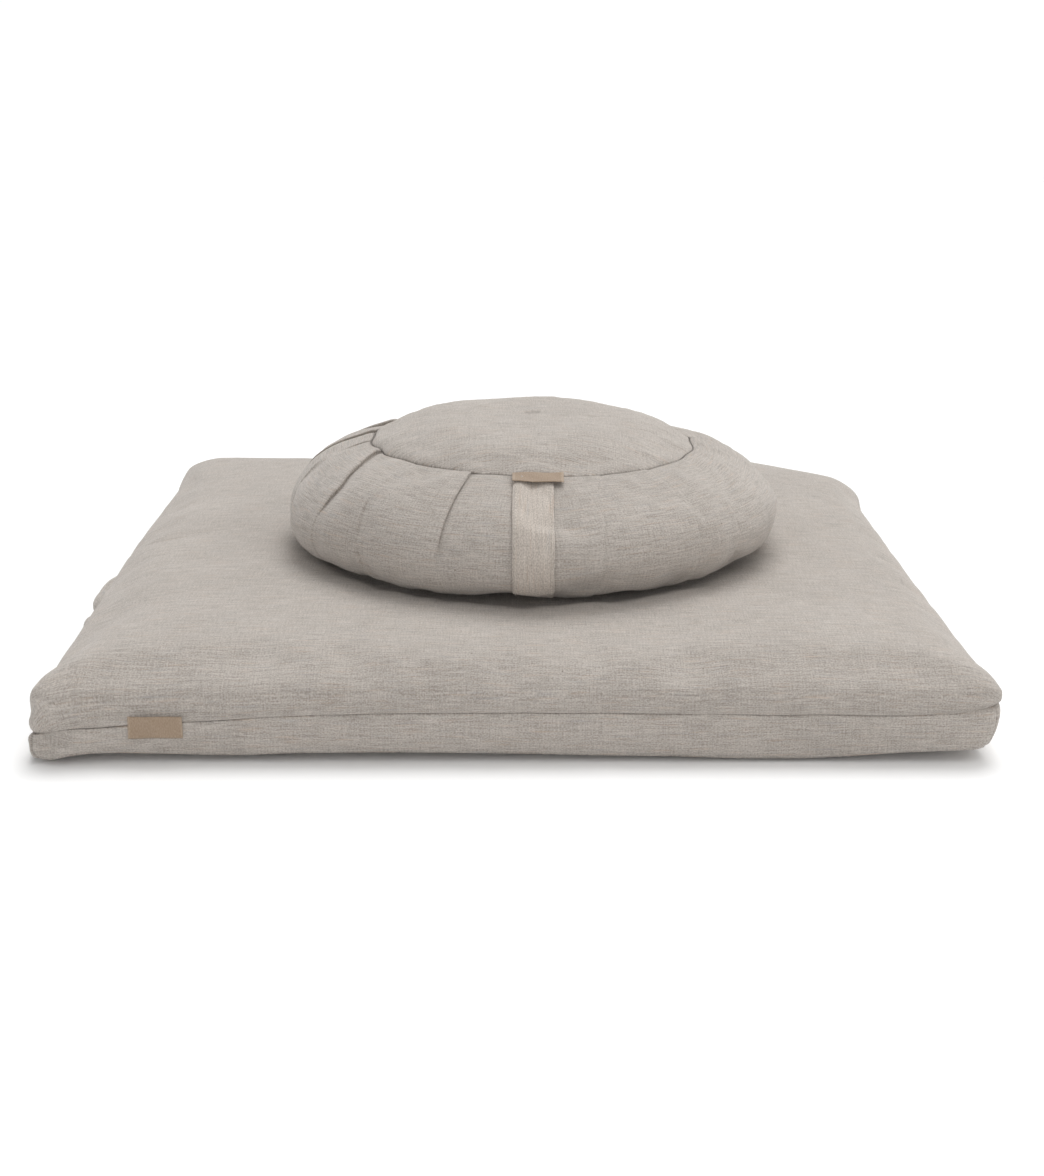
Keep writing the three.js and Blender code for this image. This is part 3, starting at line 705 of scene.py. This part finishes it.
# Sections through the cover: distance from its axis, and height above the mat.
bottom_rows = np.array([
    (0, 0.0006), (0.030, 0.0006), (0.065, 0.0006), (0.100, 0.0006), (0.130, 0.0006), (0.150, 0.0009),
])
band = resample(np.array([
    (0.1605, 0.0016), (0.1800, 0.0034), (0.1975, 0.0082), (0.2100, 0.0162), (0.2164, 0.0260),
    (0.2182, 0.0350), (0.2170, 0.0455), (0.2110, 0.0590), (0.1960, 0.0742), (0.1710, 0.0882), (0.1425, 0.0950),
]), BAND_ROWS)
for height, radius in ((ZIP_HEIGHT - SLOT_HALF, 0.2176), (ZIP_HEIGHT, 0.2180), (ZIP_HEIGHT + SLOT_HALF, 0.2174)):
    band[int(np.argmin(np.abs(band[:, 1] - height)))] = (radius, height)
dome = resample(np.array([
    (0.1425, 0.0950), (0.1350, 0.0998), (0.1220, 0.1080), (0.1060, 0.1140), (0.0850, 0.1182),
    (0.0550, 0.1202), (0.0250, 0.1206), (0, 0.1206),
]), 20)
beside = 0.0009  # a row runs close beside the top seam on either side of it
band_side = band[-1] + (band[-2] - band[-1]) / np.linalg.norm(band[-2] - band[-1]) * beside
dome_side = dome[0] + (dome[1] - dome[0]) / np.linalg.norm(dome[1] - dome[0]) * beside
section = np.vstack([bottom_rows, band[:-1], [band_side], dome[:1], [dome_side], dome[1:]])
BAND_START = len(bottom_rows)
TOP_SEAM = BAND_START + BAND_ROWS
ROWS = len(section)
run = np.concatenate([[0], np.cumsum(np.linalg.norm(np.diff(section, axis=0), axis=1))])
band_width = run[TOP_SEAM] - run[BAND_START]
slope = np.gradient(section, run, axis=0)
slope /= np.linalg.norm(slope, axis=1, keepdims=True)
outward = np.stack([slope[:, 1], -slope[:, 0]], 1)

# Angles start at the front and grow to the left. A pleat's path is given as its share of the
# band's width below the top seam, then its angle; then how far down it stays shut, how thick
# its fold is at the top, and how thick at the bottom seam.
ZIP_EDGE = 126.7
SLOT_EDGE = 129.1
pleats = [
    ([(0, -120), (1, -118)], 0.45, 1.0, 0.8),
    ([(0, -100), (1, -101)], 0.52, 0.6, 0.8),
    ([(0, -81), (1, -79)], 0.42, 0.35, 0.9),
    ([(0, -62), (0.2, -60), (0.35, -53), (0.6, -51), (1, -55)], 0.30, 0.4, 1.0),
    ([(0, -41), (1, -37)], 0.22, 0.5, 0.7),
    ([(0, -23), (0.15, -18.5), (0.45, -15.2), (1, -14.2)], 0.26, 0.55, 1.3),
    ([(0, 20.3), (0.5, 20.6), (1, 19.2)], 0.56, 1.25, 1.1),
    ([(0, 43), (0.4, 43), (1, 38)], 0.10, 0.3, 0.8),
    ([(0, 66.6), (0.15, 60.5), (0.3, 56.8), (0.5, 58), (1, 60)], 0.45, 1.5, 0.7),
    ([(0, 84), (1, 80)], 0.16, 0.5, 0.8),
    ([(0, 101), (0.3, 97), (1, 99)], 0.42, 1.2, 0.8),
    ([(0, 119), (0.3, 115), (1, 117)], 0.50, 1.4, 0.8),
]
FOLD_OPEN = np.array([-9, -5, -2.4, -0.9, 0, 0.9, 2.4, 5, 9]) / 1000
FOLD_SHUT = np.array([
    (-8.3, -0.1), (-3.7, -0.5), (-0.7, -1.0), (1.0, -1.3), (1.2, -0.5),
    (-0.2, 0.5), (0.3, 1.4), (3.3, 1.6), (8.3, 1.0),
]) / 1000
BETWEEN = 8


def pleat_hold(down, pleat):
    """How far a pleat is folded: its thickness where a seam holds it, 0 where it has opened."""
    _, shut_to, top, bottom = pleat
    shut = 1 - smooth_step(shut_to - 0.10, shut_to + 0.06, down)
    faint = 0.16 * (1 - smooth_step(0.5, 1.0, abs(down * 2 - 1)))
    return max(top * shut, bottom * smooth_step(0.72, 0.98, down), top * faint)


def columns_at(row):
    """Each column's angle on one row, its angle when the pleats are folded, its height and its hold."""
    radius = max(section[row][0], 0.13)
    down = min(max((run[TOP_SEAM] - run[row]) / band_width, 0), 1)
    in_band = BAND_START < row < TOP_SEAM
    flat, folded, heights, holds = [], [], [], []

    def add(angles, moved, lifts, hold):
        flat.extend(angles)
        folded.extend(moved)
        heights.extend(lifts)
        holds.extend([hold] * len(angles))

    before = math.radians(-ZIP_EDGE)
    lap = 0.0
    for number, pleat in enumerate(pleats):
        path = pleat[0]
        at = math.radians(np.interp(down, [place for place, _ in path], [angle for _, angle in path]))
        amount = pleat_hold(down, pleat) if in_band else 0.0
        span = np.linspace(before, at + FOLD_OPEN[0] / radius, (BETWEEN if number else 3) + 1)
        share = np.linspace(0, 1, len(span))
        belly = lap * 0.0010 * (1 - share) ** 2 + 0.0012 * np.sin(math.pi * share) * math.sin(math.pi * down)
        if not in_band:
            belly = belly * 0
        first = 1 if number else 0
        add(span[first:-1], span[first:-1], belly[first:-1], 0)
        shut = min(amount, 1.0)
        moved = FOLD_OPEN + (FOLD_SHUT[:, 0] - FOLD_OPEN) * shut
        add(at + FOLD_OPEN / radius, at + moved / radius, FOLD_SHUT[:, 1] * amount, amount)
        before = at + FOLD_OPEN[-1] / radius
        lap = amount
    span = np.linspace(before, math.radians(ZIP_EDGE), 4)[1:]
    add(span, span, span * 0, 0)
    far_slot, far_edge = 360 - SLOT_EDGE, 360 - ZIP_EDGE
    for low, high, count in ((ZIP_EDGE, SLOT_EDGE, 2), (SLOT_EDGE, far_slot, 56), (far_slot, far_edge, 2)):
        span = np.radians(np.linspace(low, high, count + 1)[1:])
        add(span, span, span * 0, 0)
    return tuple(np.array(values) for values in (flat, folded, heights, holds))


def round_place(angle, radius, height):
    """A point of the round cushion."""
    return Vector((CENTRE.x - radius * math.sin(angle), CENTRE.y - radius * math.cos(angle), base + height))


column_tables = [columns_at(row) for row in range(ROWS)]
COLUMNS = len(column_tables[0][0]) - 1
zafu_bm = bmesh.new()
bmesh.ops.create_grid(zafu_bm, x_segments=COLUMNS, y_segments=ROWS - 1, size=1)
panel = zafu_bm.faces.layers.int.new("panel")
cloth = cloth_layer(zafu_bm)
place_layer = zafu_bm.verts.layers.float_vector.new("grid")
TOP_ROUND, PLEATED, ZIP_UPPER, ZIP_LOWER, BOTTOM_ROUND = 0, 1, 2, 3, 4
zip_row = int(np.argmin(np.abs(section[:, 1] - ZIP_HEIGHT) + (section[:, 0] < 0.2)))
slot_rows = [row for row in range(BAND_START, TOP_SEAM) if abs(section[row, 1] - ZIP_HEIGHT) < SLOT_HALF + 0.0001]
for face in zafu_bm.faces:
    middle = face.calc_center_median()
    column = int((middle.x + 1) / 2 * COLUMNS)
    row = int((middle.y + 1) / 2 * (ROWS - 1))
    angle = math.degrees(column_tables[row][0][column : column + 2].mean())
    if row < BAND_START:
        face[panel] = BOTTOM_ROUND
    elif row >= TOP_SEAM:
        face[panel] = TOP_ROUND
    elif angle < ZIP_EDGE:
        face[panel] = PLEATED
    elif slot_rows[0] <= row < slot_rows[-1] and SLOT_EDGE < angle < 360 - SLOT_EDGE:
        face[panel] = CUT_AWAY
    else:
        face[panel] = ZIP_UPPER if row >= zip_row else ZIP_LOWER
for vert in zafu_bm.verts:
    column = round((vert.co.x + 1) / 2 * COLUMNS)
    row = round((vert.co.y + 1) / 2 * (ROWS - 1))
    flat, folded, heights, holds = (table[column] for table in column_tables[row])
    radius, height = section[row]
    from_top_seam = run[row] - run[TOP_SEAM]
    degrees = math.degrees(flat)
    around = Vector((math.cos(flat), math.sin(flat), 0))
    in_band = BAND_START < row < TOP_SEAM
    at_zip = degrees > ZIP_EDGE - 4 or degrees < 4 - ZIP_EDGE
    lift = heights
    if row > BAND_START:
        lumpy = noise.noise(round_place(flat, radius, height) * 17)
        calm = 0.15 if at_zip and in_band else 1.0
        lift += 0.0022 * lumpy * calm * min(1, abs(from_top_seam) / 0.02, (run[row] - run[BAND_START]) / 0.02)
    deep = 0.12 + 0.88 * smooth_step(20, 40, degrees) * (1 - smooth_step(118, 128, degrees))
    lift -= 0.0014 * deep * math.exp(-((from_top_seam / 0.0007) ** 2))
    lift += 0.0010 * math.exp(-((from_top_seam / 0.012) ** 2)) * (1 - math.exp(-((from_top_seam / 0.002) ** 2)))
    wave = 0.0014 * noise.noise(around * 3.1) + 0.0009 * noise.noise(around * 9.3)
    wave += 0.0011 * math.cos(flat * 18) * (1 if abs(degrees) < 125 else 0)
    radius += outward[row][0] * lift + wave * math.exp(-((from_top_seam / 0.012) ** 2))
    height += outward[row][1] * lift
    vert[place_layer] = (degrees, from_top_seam, holds)
    vert[cloth] = (flat * 0.205 + 20, run[row], 0)
    vert.co = round_place(folded, radius, height)
    if row <= BAND_START or row >= TOP_SEAM:
        vert[cloth] = (vert.co.x + 40, vert.co.y, 0)
    # the hulls have run to the left, and the dome is fuller on that side
    tilt = min(max((vert.co.x - CENTRE.x) / 0.11, -1), 1) * -0.0026
    vert.co.z += tilt * smooth_step(0.05, 0.10, height)
bmesh.ops.remove_doubles(zafu_bm, verts=zafu_bm.verts, dist=0.00001)
bmesh.ops.recalc_face_normals(zafu_bm, faces=zafu_bm.faces)
zafu_skin = finish_mesh("zafu_skin", zafu_bm, mat_linen)

grid = read_layer(zafu_skin.data, "grid")
start = points_of(zafu_skin.data)
seams = np.exp(-((grid[:, 1] / 0.003) ** 2)) + np.exp(-(((grid[:, 1] + band_width) / 0.004) ** 2))
held = np.where(grid[:, 1] < -band_width - 0.001, 1.0, 0.0)
held = np.maximum(held, np.where(grid[:, 2] > 0.12, 0.95, 0.0))
held = np.maximum(held, np.where(np.abs(grid[:, 1]) < 0.0012, 0.9, 0.0))
behind = (np.abs(grid[:, 0]) > ZIP_EDGE - 2) & (np.abs(start[:, 2] - base - ZIP_HEIGHT) < 0.012)
held = np.maximum(held, np.where(behind, 1.0, 0.0))
held = np.maximum(held, np.where(grid[:, 1] > 0.02, 0.3, 0.0))
from_axis = np.hypot(start[:, 0] - CENTRE.x, start[:, 1] - CENTRE.y)
held = np.maximum(held, np.clip((0.06 - from_axis) / 0.03, 0, 1))
simulate(zafu_skin, held, np.minimum(seams, 1), 0.012, 0.02, 2.0, 0.004)

# Puckers run from the gathered seams into the cloth.
grid = read_layer(zafu_skin.data, "grid")
points = points_of(zafu_skin.data)
normals = np.array([vert.normal for vert in zafu_skin.data.vertices])
for i, (x, y, z) in enumerate(points):
    if grid[i, 1] > -band_width + 0.004 and math.hypot(x - CENTRE.x, y - CENTRE.y) > 0.004:
        angle = math.radians(grid[i, 0])
        around = Vector((math.cos(angle) * 11, math.sin(angle) * 11, 0))
        reach = abs(grid[i, 1])
        pucker = 0.0011 * noise.noise(around) * math.exp(-((reach / 0.018) ** 2)) * smooth_step(0, 0.003, reach)
        near_zip = abs(grid[i, 0]) > ZIP_EDGE - 2 and abs(z - base - ZIP_HEIGHT) < 0.012
        low_down = smooth_step(0.35, 0.8, -grid[i, 1] / band_width)
        dent = 0.0011 * noise.noise(Vector((x, y, z)) * 24)
        dent += (0.0005 + 0.0008 * low_down) * noise.noise(Vector((x, y, z)) * 60)
        points[i] += normals[i] * (pucker + dent * (0.1 if near_zip else 1) * smooth_step(0, 0.004, reach))
set_points(zafu_skin.data, points)

zafu_panels = {
    "zafu_top_cloth": (TOP_ROUND, "zafu_top_panel"),
    "zafu_pleated_cloth": (PLEATED, "zafu_pleated_band"),
    "zafu_zip_cloth_upper": (ZIP_UPPER, "zafu_zip_panel_upper"),
    "zafu_zip_cloth_lower": (ZIP_LOWER, "zafu_zip_panel_lower"),
    "zafu_bottom_cloth": (BOTTOM_ROUND, "zafu_bottom_panel"),
}
for name, (number, node) in zafu_panels.items():
    piece = cut_panel(name, zafu_skin, number, None, mat_linen, 0.0022 if "zip" in name else 0.004)
    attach(piece, "zafu")
    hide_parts(node)

# ---- The round cushion's liner is a muslin bag of a top, a bottom and a wall, and is filled
# with loose buckwheat hulls, which lie as one heap.
hull_heap, shader, start = new_material("buckwheat_hulls", 0.7)
place = start.node("ShaderNodeTexCoord", output=3)
hulls = start.node("ShaderNodeTexVoronoi", {"feature": "F1"}, {"Vector": place, "Scale": 190.0})
tone = start.noise(place.stretched(60, 60, 60), 3.0)
# each hull is lighter in its middle and near-black towards its border: that dark is painted shade in the gaps
# between the hulls
colour = start.blend(hulls.between(0.1, 0.75), (0.115, 0.062, 0.032, 1), (0.022, 0.012, 0.008, 1))
colour = start.blend(tone.between(0.45, 0.6) * 0.4, colour, (0.20, 0.13, 0.075, 1))
colour.into(shader, "Base Color")
start.bump(1 - hulls, 0.003).into(shader, "Normal")


def near_axis(place):
    return math.hypot(place.x - CENTRE.x, place.y - CENTRE.y) < 0.136


halfway = base + 0.05
liner_parts = {
    "top": lambda place: near_axis(place) and place.z > halfway,
    "bottom": lambda place: near_axis(place) and place.z < halfway,
    "wall": lambda place: not near_axis(place),
}
for name, keep in liner_parts.items():
    filling(
        "zafu_liner_cloth_" + name, zafu_skin, 0.007, muslin, "zafu", "zafu_liner_" + name,
        keep=keep, wall=0.0006,
    )
filling("zafu_hull_filling", zafu_skin, 0.0086, hull_heap, "zafu", "zafu_buckwheat_hulls")

# ---- The carrying strap is a folded band of the same linen, two layers thick. It is topstitched
# along both edges, sewn into the top and bottom seams, and lies on the band between them.
strap_linen = linen("strap_linen", (1.16, 1.14, 1.12), 0.6, 0.2)
strap_low, strap_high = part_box("zafu_strap")
STRAP_HALF = (strap_high.x - strap_low.x) / 2
surface = BVHTree.FromObject(zafu_skin, bpy.context.evaluated_depsgraph_get())


def on_band(across, share, clear):
    """A point over the band in front: across from the strap's middle, share down from the top seam."""
    at = run[TOP_SEAM] + 0.001 - share * (band_width + 0.0005)
    radius, height = (np.interp(at, run, section[:, k]) for k in range(2))
    direction = Vector([np.interp(at, run, outward[:, k]) for k in range(2)])
    angle = -math.asin(across / radius)
    away = round_place(angle, radius + direction.x * 0.03, height + direction.y * 0.03)
    towards = (round_place(angle, radius, height) - away).normalized()
    hit = surface.ray_cast(away, towards)[0]
    return (hit or round_place(angle, radius, height)) - towards * clear, -towards


def strap_slack(share):
    """How far the strap stands off the band."""
    return 0.0012 * math.sin(math.pi * min(share * 1.2, 1))


strap_bm = bmesh.new()
bmesh.ops.create_grid(strap_bm, x_segments=14, y_segments=64, size=1)
cloth = cloth_layer(strap_bm)
for vert in strap_bm.verts:
    across, share = vert.co.x * STRAP_HALF, (1 - vert.co.y) / 2
    near_edge = abs(vert.co.x)
    quilt = 0.00045 * smooth_step(0.0, 0.5, 1 - near_edge) - 0.0003 * math.exp(-(((near_edge - 0.86) / 0.05) ** 2))
    loose = strap_slack(share) + 0.0005 * ripple(across * 40, share * 9, 1)
    place, _ = on_band(across, share, 0.0013 + quilt + loose)
    place.x += 0.0005 * ripple(share * 8, 0, 3)
    vert[cloth] = (share * band_width + 60, across, 0)
    vert.co = place
bmesh.ops.recalc_face_normals(strap_bm, faces=strap_bm.faces)
front_face = min(strap_bm.faces, key=lambda face: face.calc_center_median().y)
if front_face.normal.y > 0:
    bmesh.ops.reverse_faces(strap_bm, faces=strap_bm.faces)
strap = finish_mesh("zafu_carrying_strap", strap_bm, strap_linen)
thicken(strap, "two_layers", 0.0014)
finer(strap, "soft_edges")
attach(strap, "zafu")
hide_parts("zafu_strap")

thread, shader, start = new_material("sewing_thread", 0.75)
place = start.node("ShaderNodeTexCoord", output=3)
twist = start.noise(place.stretched(2400, 2400, 2400), 1.0)
colour = start.blend(twist.between(0.3, 0.7), (0.50, 0.455, 0.40, 1), (0.74, 0.70, 0.64, 1))
colour.into(shader, "Base Color")
STITCH, STITCH_GAP, THREAD = 0.0028, 0.0011, 0.00055


def stitch_row(bm, path):
    """Sews stitches along a path of points, each with the direction that it faces."""
    points = [point for point, _ in path]
    reach = np.concatenate([[0], np.cumsum([(b - a).length for a, b in zip(points, points[1:])])])
    count = int(reach[-1] / (STITCH + STITCH_GAP))
    for number in range(count):
        ends = []
        for at in (number * (STITCH + STITCH_GAP), number * (STITCH + STITCH_GAP) + STITCH):
            k = min(int(np.searchsorted(reach, at, side="right")) - 1, len(points) - 2)
            share = (at - reach[k]) / (reach[k + 1] - reach[k])
            ends.append(points[k].lerp(points[k + 1], share))
        along = (ends[1] - ends[0]).normalized()
        face = path[k][1]
        side = along.cross(face).normalized()
        face = side.cross(along)
        frame_of_stitch = Matrix((along * STITCH / 2, side * THREAD / 2, face * THREAD / 2)).transposed().to_4x4()
        frame_of_stitch.translation = ends[0].lerp(ends[1], 0.5)
        bmesh.ops.create_icosphere(bm, subdivisions=1, radius=1.12, matrix=frame_of_stitch)


def sew(name, paths, body):
    bm = bmesh.new()
    for path in paths:
        stitch_row(bm, path)
    bmesh.ops.recalc_face_normals(bm, faces=bm.faces)
    piece = finish_mesh(name, bm, thread)
    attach(piece, body)


surface = BVHTree.FromObject(zafu_skin, bpy.context.evaluated_depsgraph_get())
strap_edges = []
for side in (-1, 1):
    across = side * STRAP_HALF * 0.86
    shares = np.linspace(0.12, 0.97, 80)
    strap_edges.append([on_band(across, share, 0.0018 + strap_slack(share)) for share in shares])
sew("zafu_strap_stitching", strap_edges, "zafu")
bpy.data.objects.remove(zafu_skin)

# ---- Each cushion has a plain folded label, a loop of woven ribbon with its ends in the seam.
# It hangs from the seam on its own fold, so it turns about that line.
label_weave, shader, start = new_material("woven_label", 0.7, Sheen_Weight=0.15)
place = start.node("ShaderNodeAttribute", {"attribute_name": CLOTH}, output=1)
along, across, _ = place.parts()
rib = along.wave(0.00055)
cross_rib = across.wave(0.0009)
mottle = start.noise(start.vector(along * 500, across * 1500, 1.0), 3.0)
selvedge = across.math("ABSOLUTE", across).between(0.0180, 0.0196)
colour = start.blend(mottle.between(0.25, 0.75), (0.345, 0.245, 0.165, 1), (0.475, 0.360, 0.262, 1))
colour = start.blend((rib * 0.5 + 0.5) * 0.25, colour, (0.28, 0.195, 0.13, 1))
colour = start.blend(selvedge * 0.35, colour, (0.60, 0.49, 0.38, 1))
colour.into(shader, "Base Color")
start.bump(rib * 0.6 + cross_rib * 0.4 + mottle, 0.00016).into(shader, "Normal")


def folded_label(name, node, body, middle, down, face, width, length):
    """A ribbon that goes down its front, round a fold and up its back."""
    bm = bmesh.new()
    bmesh.ops.create_grid(bm, x_segments=28, y_segments=34, size=1)
    cloth = cloth_layer(bm)
    fold = 0.00032
    side = down.cross(face).normalized()
    bend = math.pi * fold
    total = 2 * (length - fold) + bend
    for vert in bm.verts:
        across, at = vert.co.x * width / 2, (vert.co.y + 1) / 2 * total
        if at < length - fold:
            reach, out = at, fold
        elif at < length - fold + bend:
            turn = (at - length + fold) / fold
            reach, out = length - fold + fold * math.sin(turn), fold * math.cos(turn)
        else:
            reach, out = total - at, -fold
        curl = 0.0011 * (reach / length) ** 2 * (vert.co.x * 0.6 + 0.4)
        curl += 0.0004 * math.sin(vert.co.x * 4 + reach * 260)
        ragged = 1 + 0.004 * ripple(at * 900, vert.co.x * 3, 2)
        vert[cloth] = (at, across, 0)
        vert.co = middle + side * across * ragged + down * reach + face * (out + curl)
    bmesh.ops.recalc_face_normals(bm, faces=bm.faces)
    piece = finish_mesh(name, bm, label_weave)
    thicken(piece, "ribbon_thickness", 0.0003, offset=0)
    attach(piece, body)
    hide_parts(node)


low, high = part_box("mat_label")
folded_label(
    "mat_folded_label", "mat_label", "mat_label", Vector(((low.x + high.x) / 2, (low.y + high.y) / 2, high.z)),
    Vector((0, 0, -1)), Vector((0, -1, 0)), high.x - low.x, high.z - low.z,
)
low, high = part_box("zafu_label")
lie = math.radians(14)
folded_label(
    "zafu_folded_label", "zafu_label", "zafu_label",
    Vector(((low.x + high.x) / 2, high.y, high.z - 0.0005)),
    Vector((0, -math.cos(lie), -math.sin(lie))), Vector((0, -math.sin(lie), math.cos(lie))),
    high.x - low.x, (high.y - low.y) / math.cos(lie),
)

# ---- Both covers close with a nylon coil zip let in behind a slot. Its tapes are woven
# polyester, each row of the coil is sewn to its own tape, and metal stops close off both ends.
zip_tape, shader, start = new_material("zip_tape", 0.85)
place = start.node("ShaderNodeTexCoord", output=3)
x, y, z = place.parts()
ribs = z.wave(0.0007)
twill = start.noise(start.vector(x * 900, y * 900, z * 900), 2.0)
colour = start.blend(twill.between(0.3, 0.7), (0.40, 0.36, 0.31, 1), (0.56, 0.515, 0.455, 1))
colour.into(shader, "Base Color")
start.bump(ribs * 0.5 + twill, 0.0002).into(shader, "Normal")

nylon, shader, start = new_material("nylon_coil", 0.38)
place = start.node("ShaderNodeTexCoord", output=3)
tone = start.noise(place.stretched(700, 700, 700))
colour = start.blend(tone.between(0.35, 0.65), (0.42, 0.375, 0.315, 1), (0.52, 0.475, 0.41, 1))
colour.into(shader, "Base Color")

zip_metal, shader, start = new_material("plated_zip_metal", 0.32, Metallic=1.0)
place = start.node("ShaderNodeTexCoord", output=3)
worn = start.noise(place.stretched(420, 420, 420), 4.0)
colour = start.blend(worn.between(0.35, 0.7), (0.42, 0.40, 0.37, 1), (0.64, 0.62, 0.58, 1))
colour.into(shader, "Base Color")
(worn * 0.25 + 0.22).into(shader, "Roughness")
start.bump(worn, 0.00005).into(shader, "Normal")

TOOTH_PITCH = 0.0014


def mat_zip_place(along, out, up):
    """A place on the mat's zip: along it, out from the tape's face, and up from its middle."""
    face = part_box("mat_zip_tape_upper")[1].y
    return Vector((along, face + out, 0.021 + up))


def zafu_zip_place(along, out, up):
    face = 0.2149
    angle = along / face
    x, y = CENTRE.x + (face + out) * math.sin(angle), CENTRE.y + (face + out) * math.cos(angle)
    return Vector((x, y, base + ZIP_HEIGHT + up))


def coil_row(name, node, body, zip_place, half_length, up):
    """One row of a zip's coil, as a run of small loops."""
    bm = bmesh.new()
    first = -half_length + (TOOTH_PITCH / 2 if up > 0 else 0)
    at = first + TOOTH_PITCH
    while at < half_length - TOOTH_PITCH / 2:
        middle = zip_place(at, 0.0014, up)
        along = (zip_place(at + 0.0005, 0.0014, up) - zip_place(at - 0.0005, 0.0014, up)).normalized()
        out = (zip_place(at, 0.0024, up) - middle).normalized()
        loop = Matrix((along * 0.00056, out * 0.00108, out.cross(along) * 0.00104)).transposed().to_4x4()
        loop.translation = middle
        bmesh.ops.create_icosphere(bm, subdivisions=1, radius=1.0, matrix=loop)
        at += TOOTH_PITCH
    bmesh.ops.recalc_face_normals(bm, faces=bm.faces)
    piece = finish_mesh(name, bm, nylon)
    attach(piece, body)
    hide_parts(node)


def softened(name, node, body, material, width):
    """A copy of a plain solid with its edges rounded over."""
    bm = bmesh.new()
    bm.from_mesh(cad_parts[node].data)
    bmesh.ops.remove_doubles(bm, verts=bm.verts, dist=0.000002)
    bmesh.ops.dissolve_limit(bm, angle_limit=math.radians(2), verts=bm.verts, edges=bm.edges)
    sharp = [edge for edge in bm.edges if edge.is_manifold and edge.calc_face_angle() > math.radians(28)]
    bmesh.ops.bevel(
        bm, geom=sharp, offset=width, segments=2, profile=0.5, affect="EDGES", material=-1, clamp_overlap=True,
    )
    piece = finish_mesh(name, bm, material)
    piece.data.set_sharp_from_angle(angle=math.radians(40))
    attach(piece, body)
    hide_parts(node)


for prefix, zip_place, half_length in (("mat", mat_zip_place, 0.285), ("zafu", zafu_zip_place, 0.186)):
    for name, up in (("upper", 0.00195), ("lower", -0.00195)):
        coil = f"{prefix}_zip_coil_{name}"
        coil_row(f"{prefix}_coil_teeth_{name}", coil, prefix, zip_place, half_length - 0.0042, up)
        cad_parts[f"{prefix}_zip_tape_{name}"].data.materials.clear()
        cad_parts[f"{prefix}_zip_tape_{name}"].data.materials.append(zip_tape)
        stop = f"{prefix}_zip_top_stop_{name}"
        softened(stop + "_crimp", stop, prefix, zip_metal, 0.0004)
    softened(f"{prefix}_zip_bottom_stop_crimp", f"{prefix}_zip_bottom_stop", prefix, zip_metal, 0.0004)
    slider = f"{prefix}_zip_slider"
    softened(slider + "_body", slider, slider, zip_metal, 0.00022)
    pull = f"{prefix}_zip_pull"
    softened(pull + "_tab", pull, pull, zip_metal, 0.00018)
    rows = []
    for up in (-1, 1):
        row = []
        for at in np.linspace(-half_length - 0.003, half_length + 0.003, 120):
            out = 0.0031 if prefix == "mat" else 0.0029
            point = zip_place(at, out, up * 0.0086)
            row.append((point, (zip_place(at, out + 0.001, up * 0.0086) - point).normalized()))
        rows.append(row)
    sew(f"{prefix}_zip_stitching", rows, prefix)
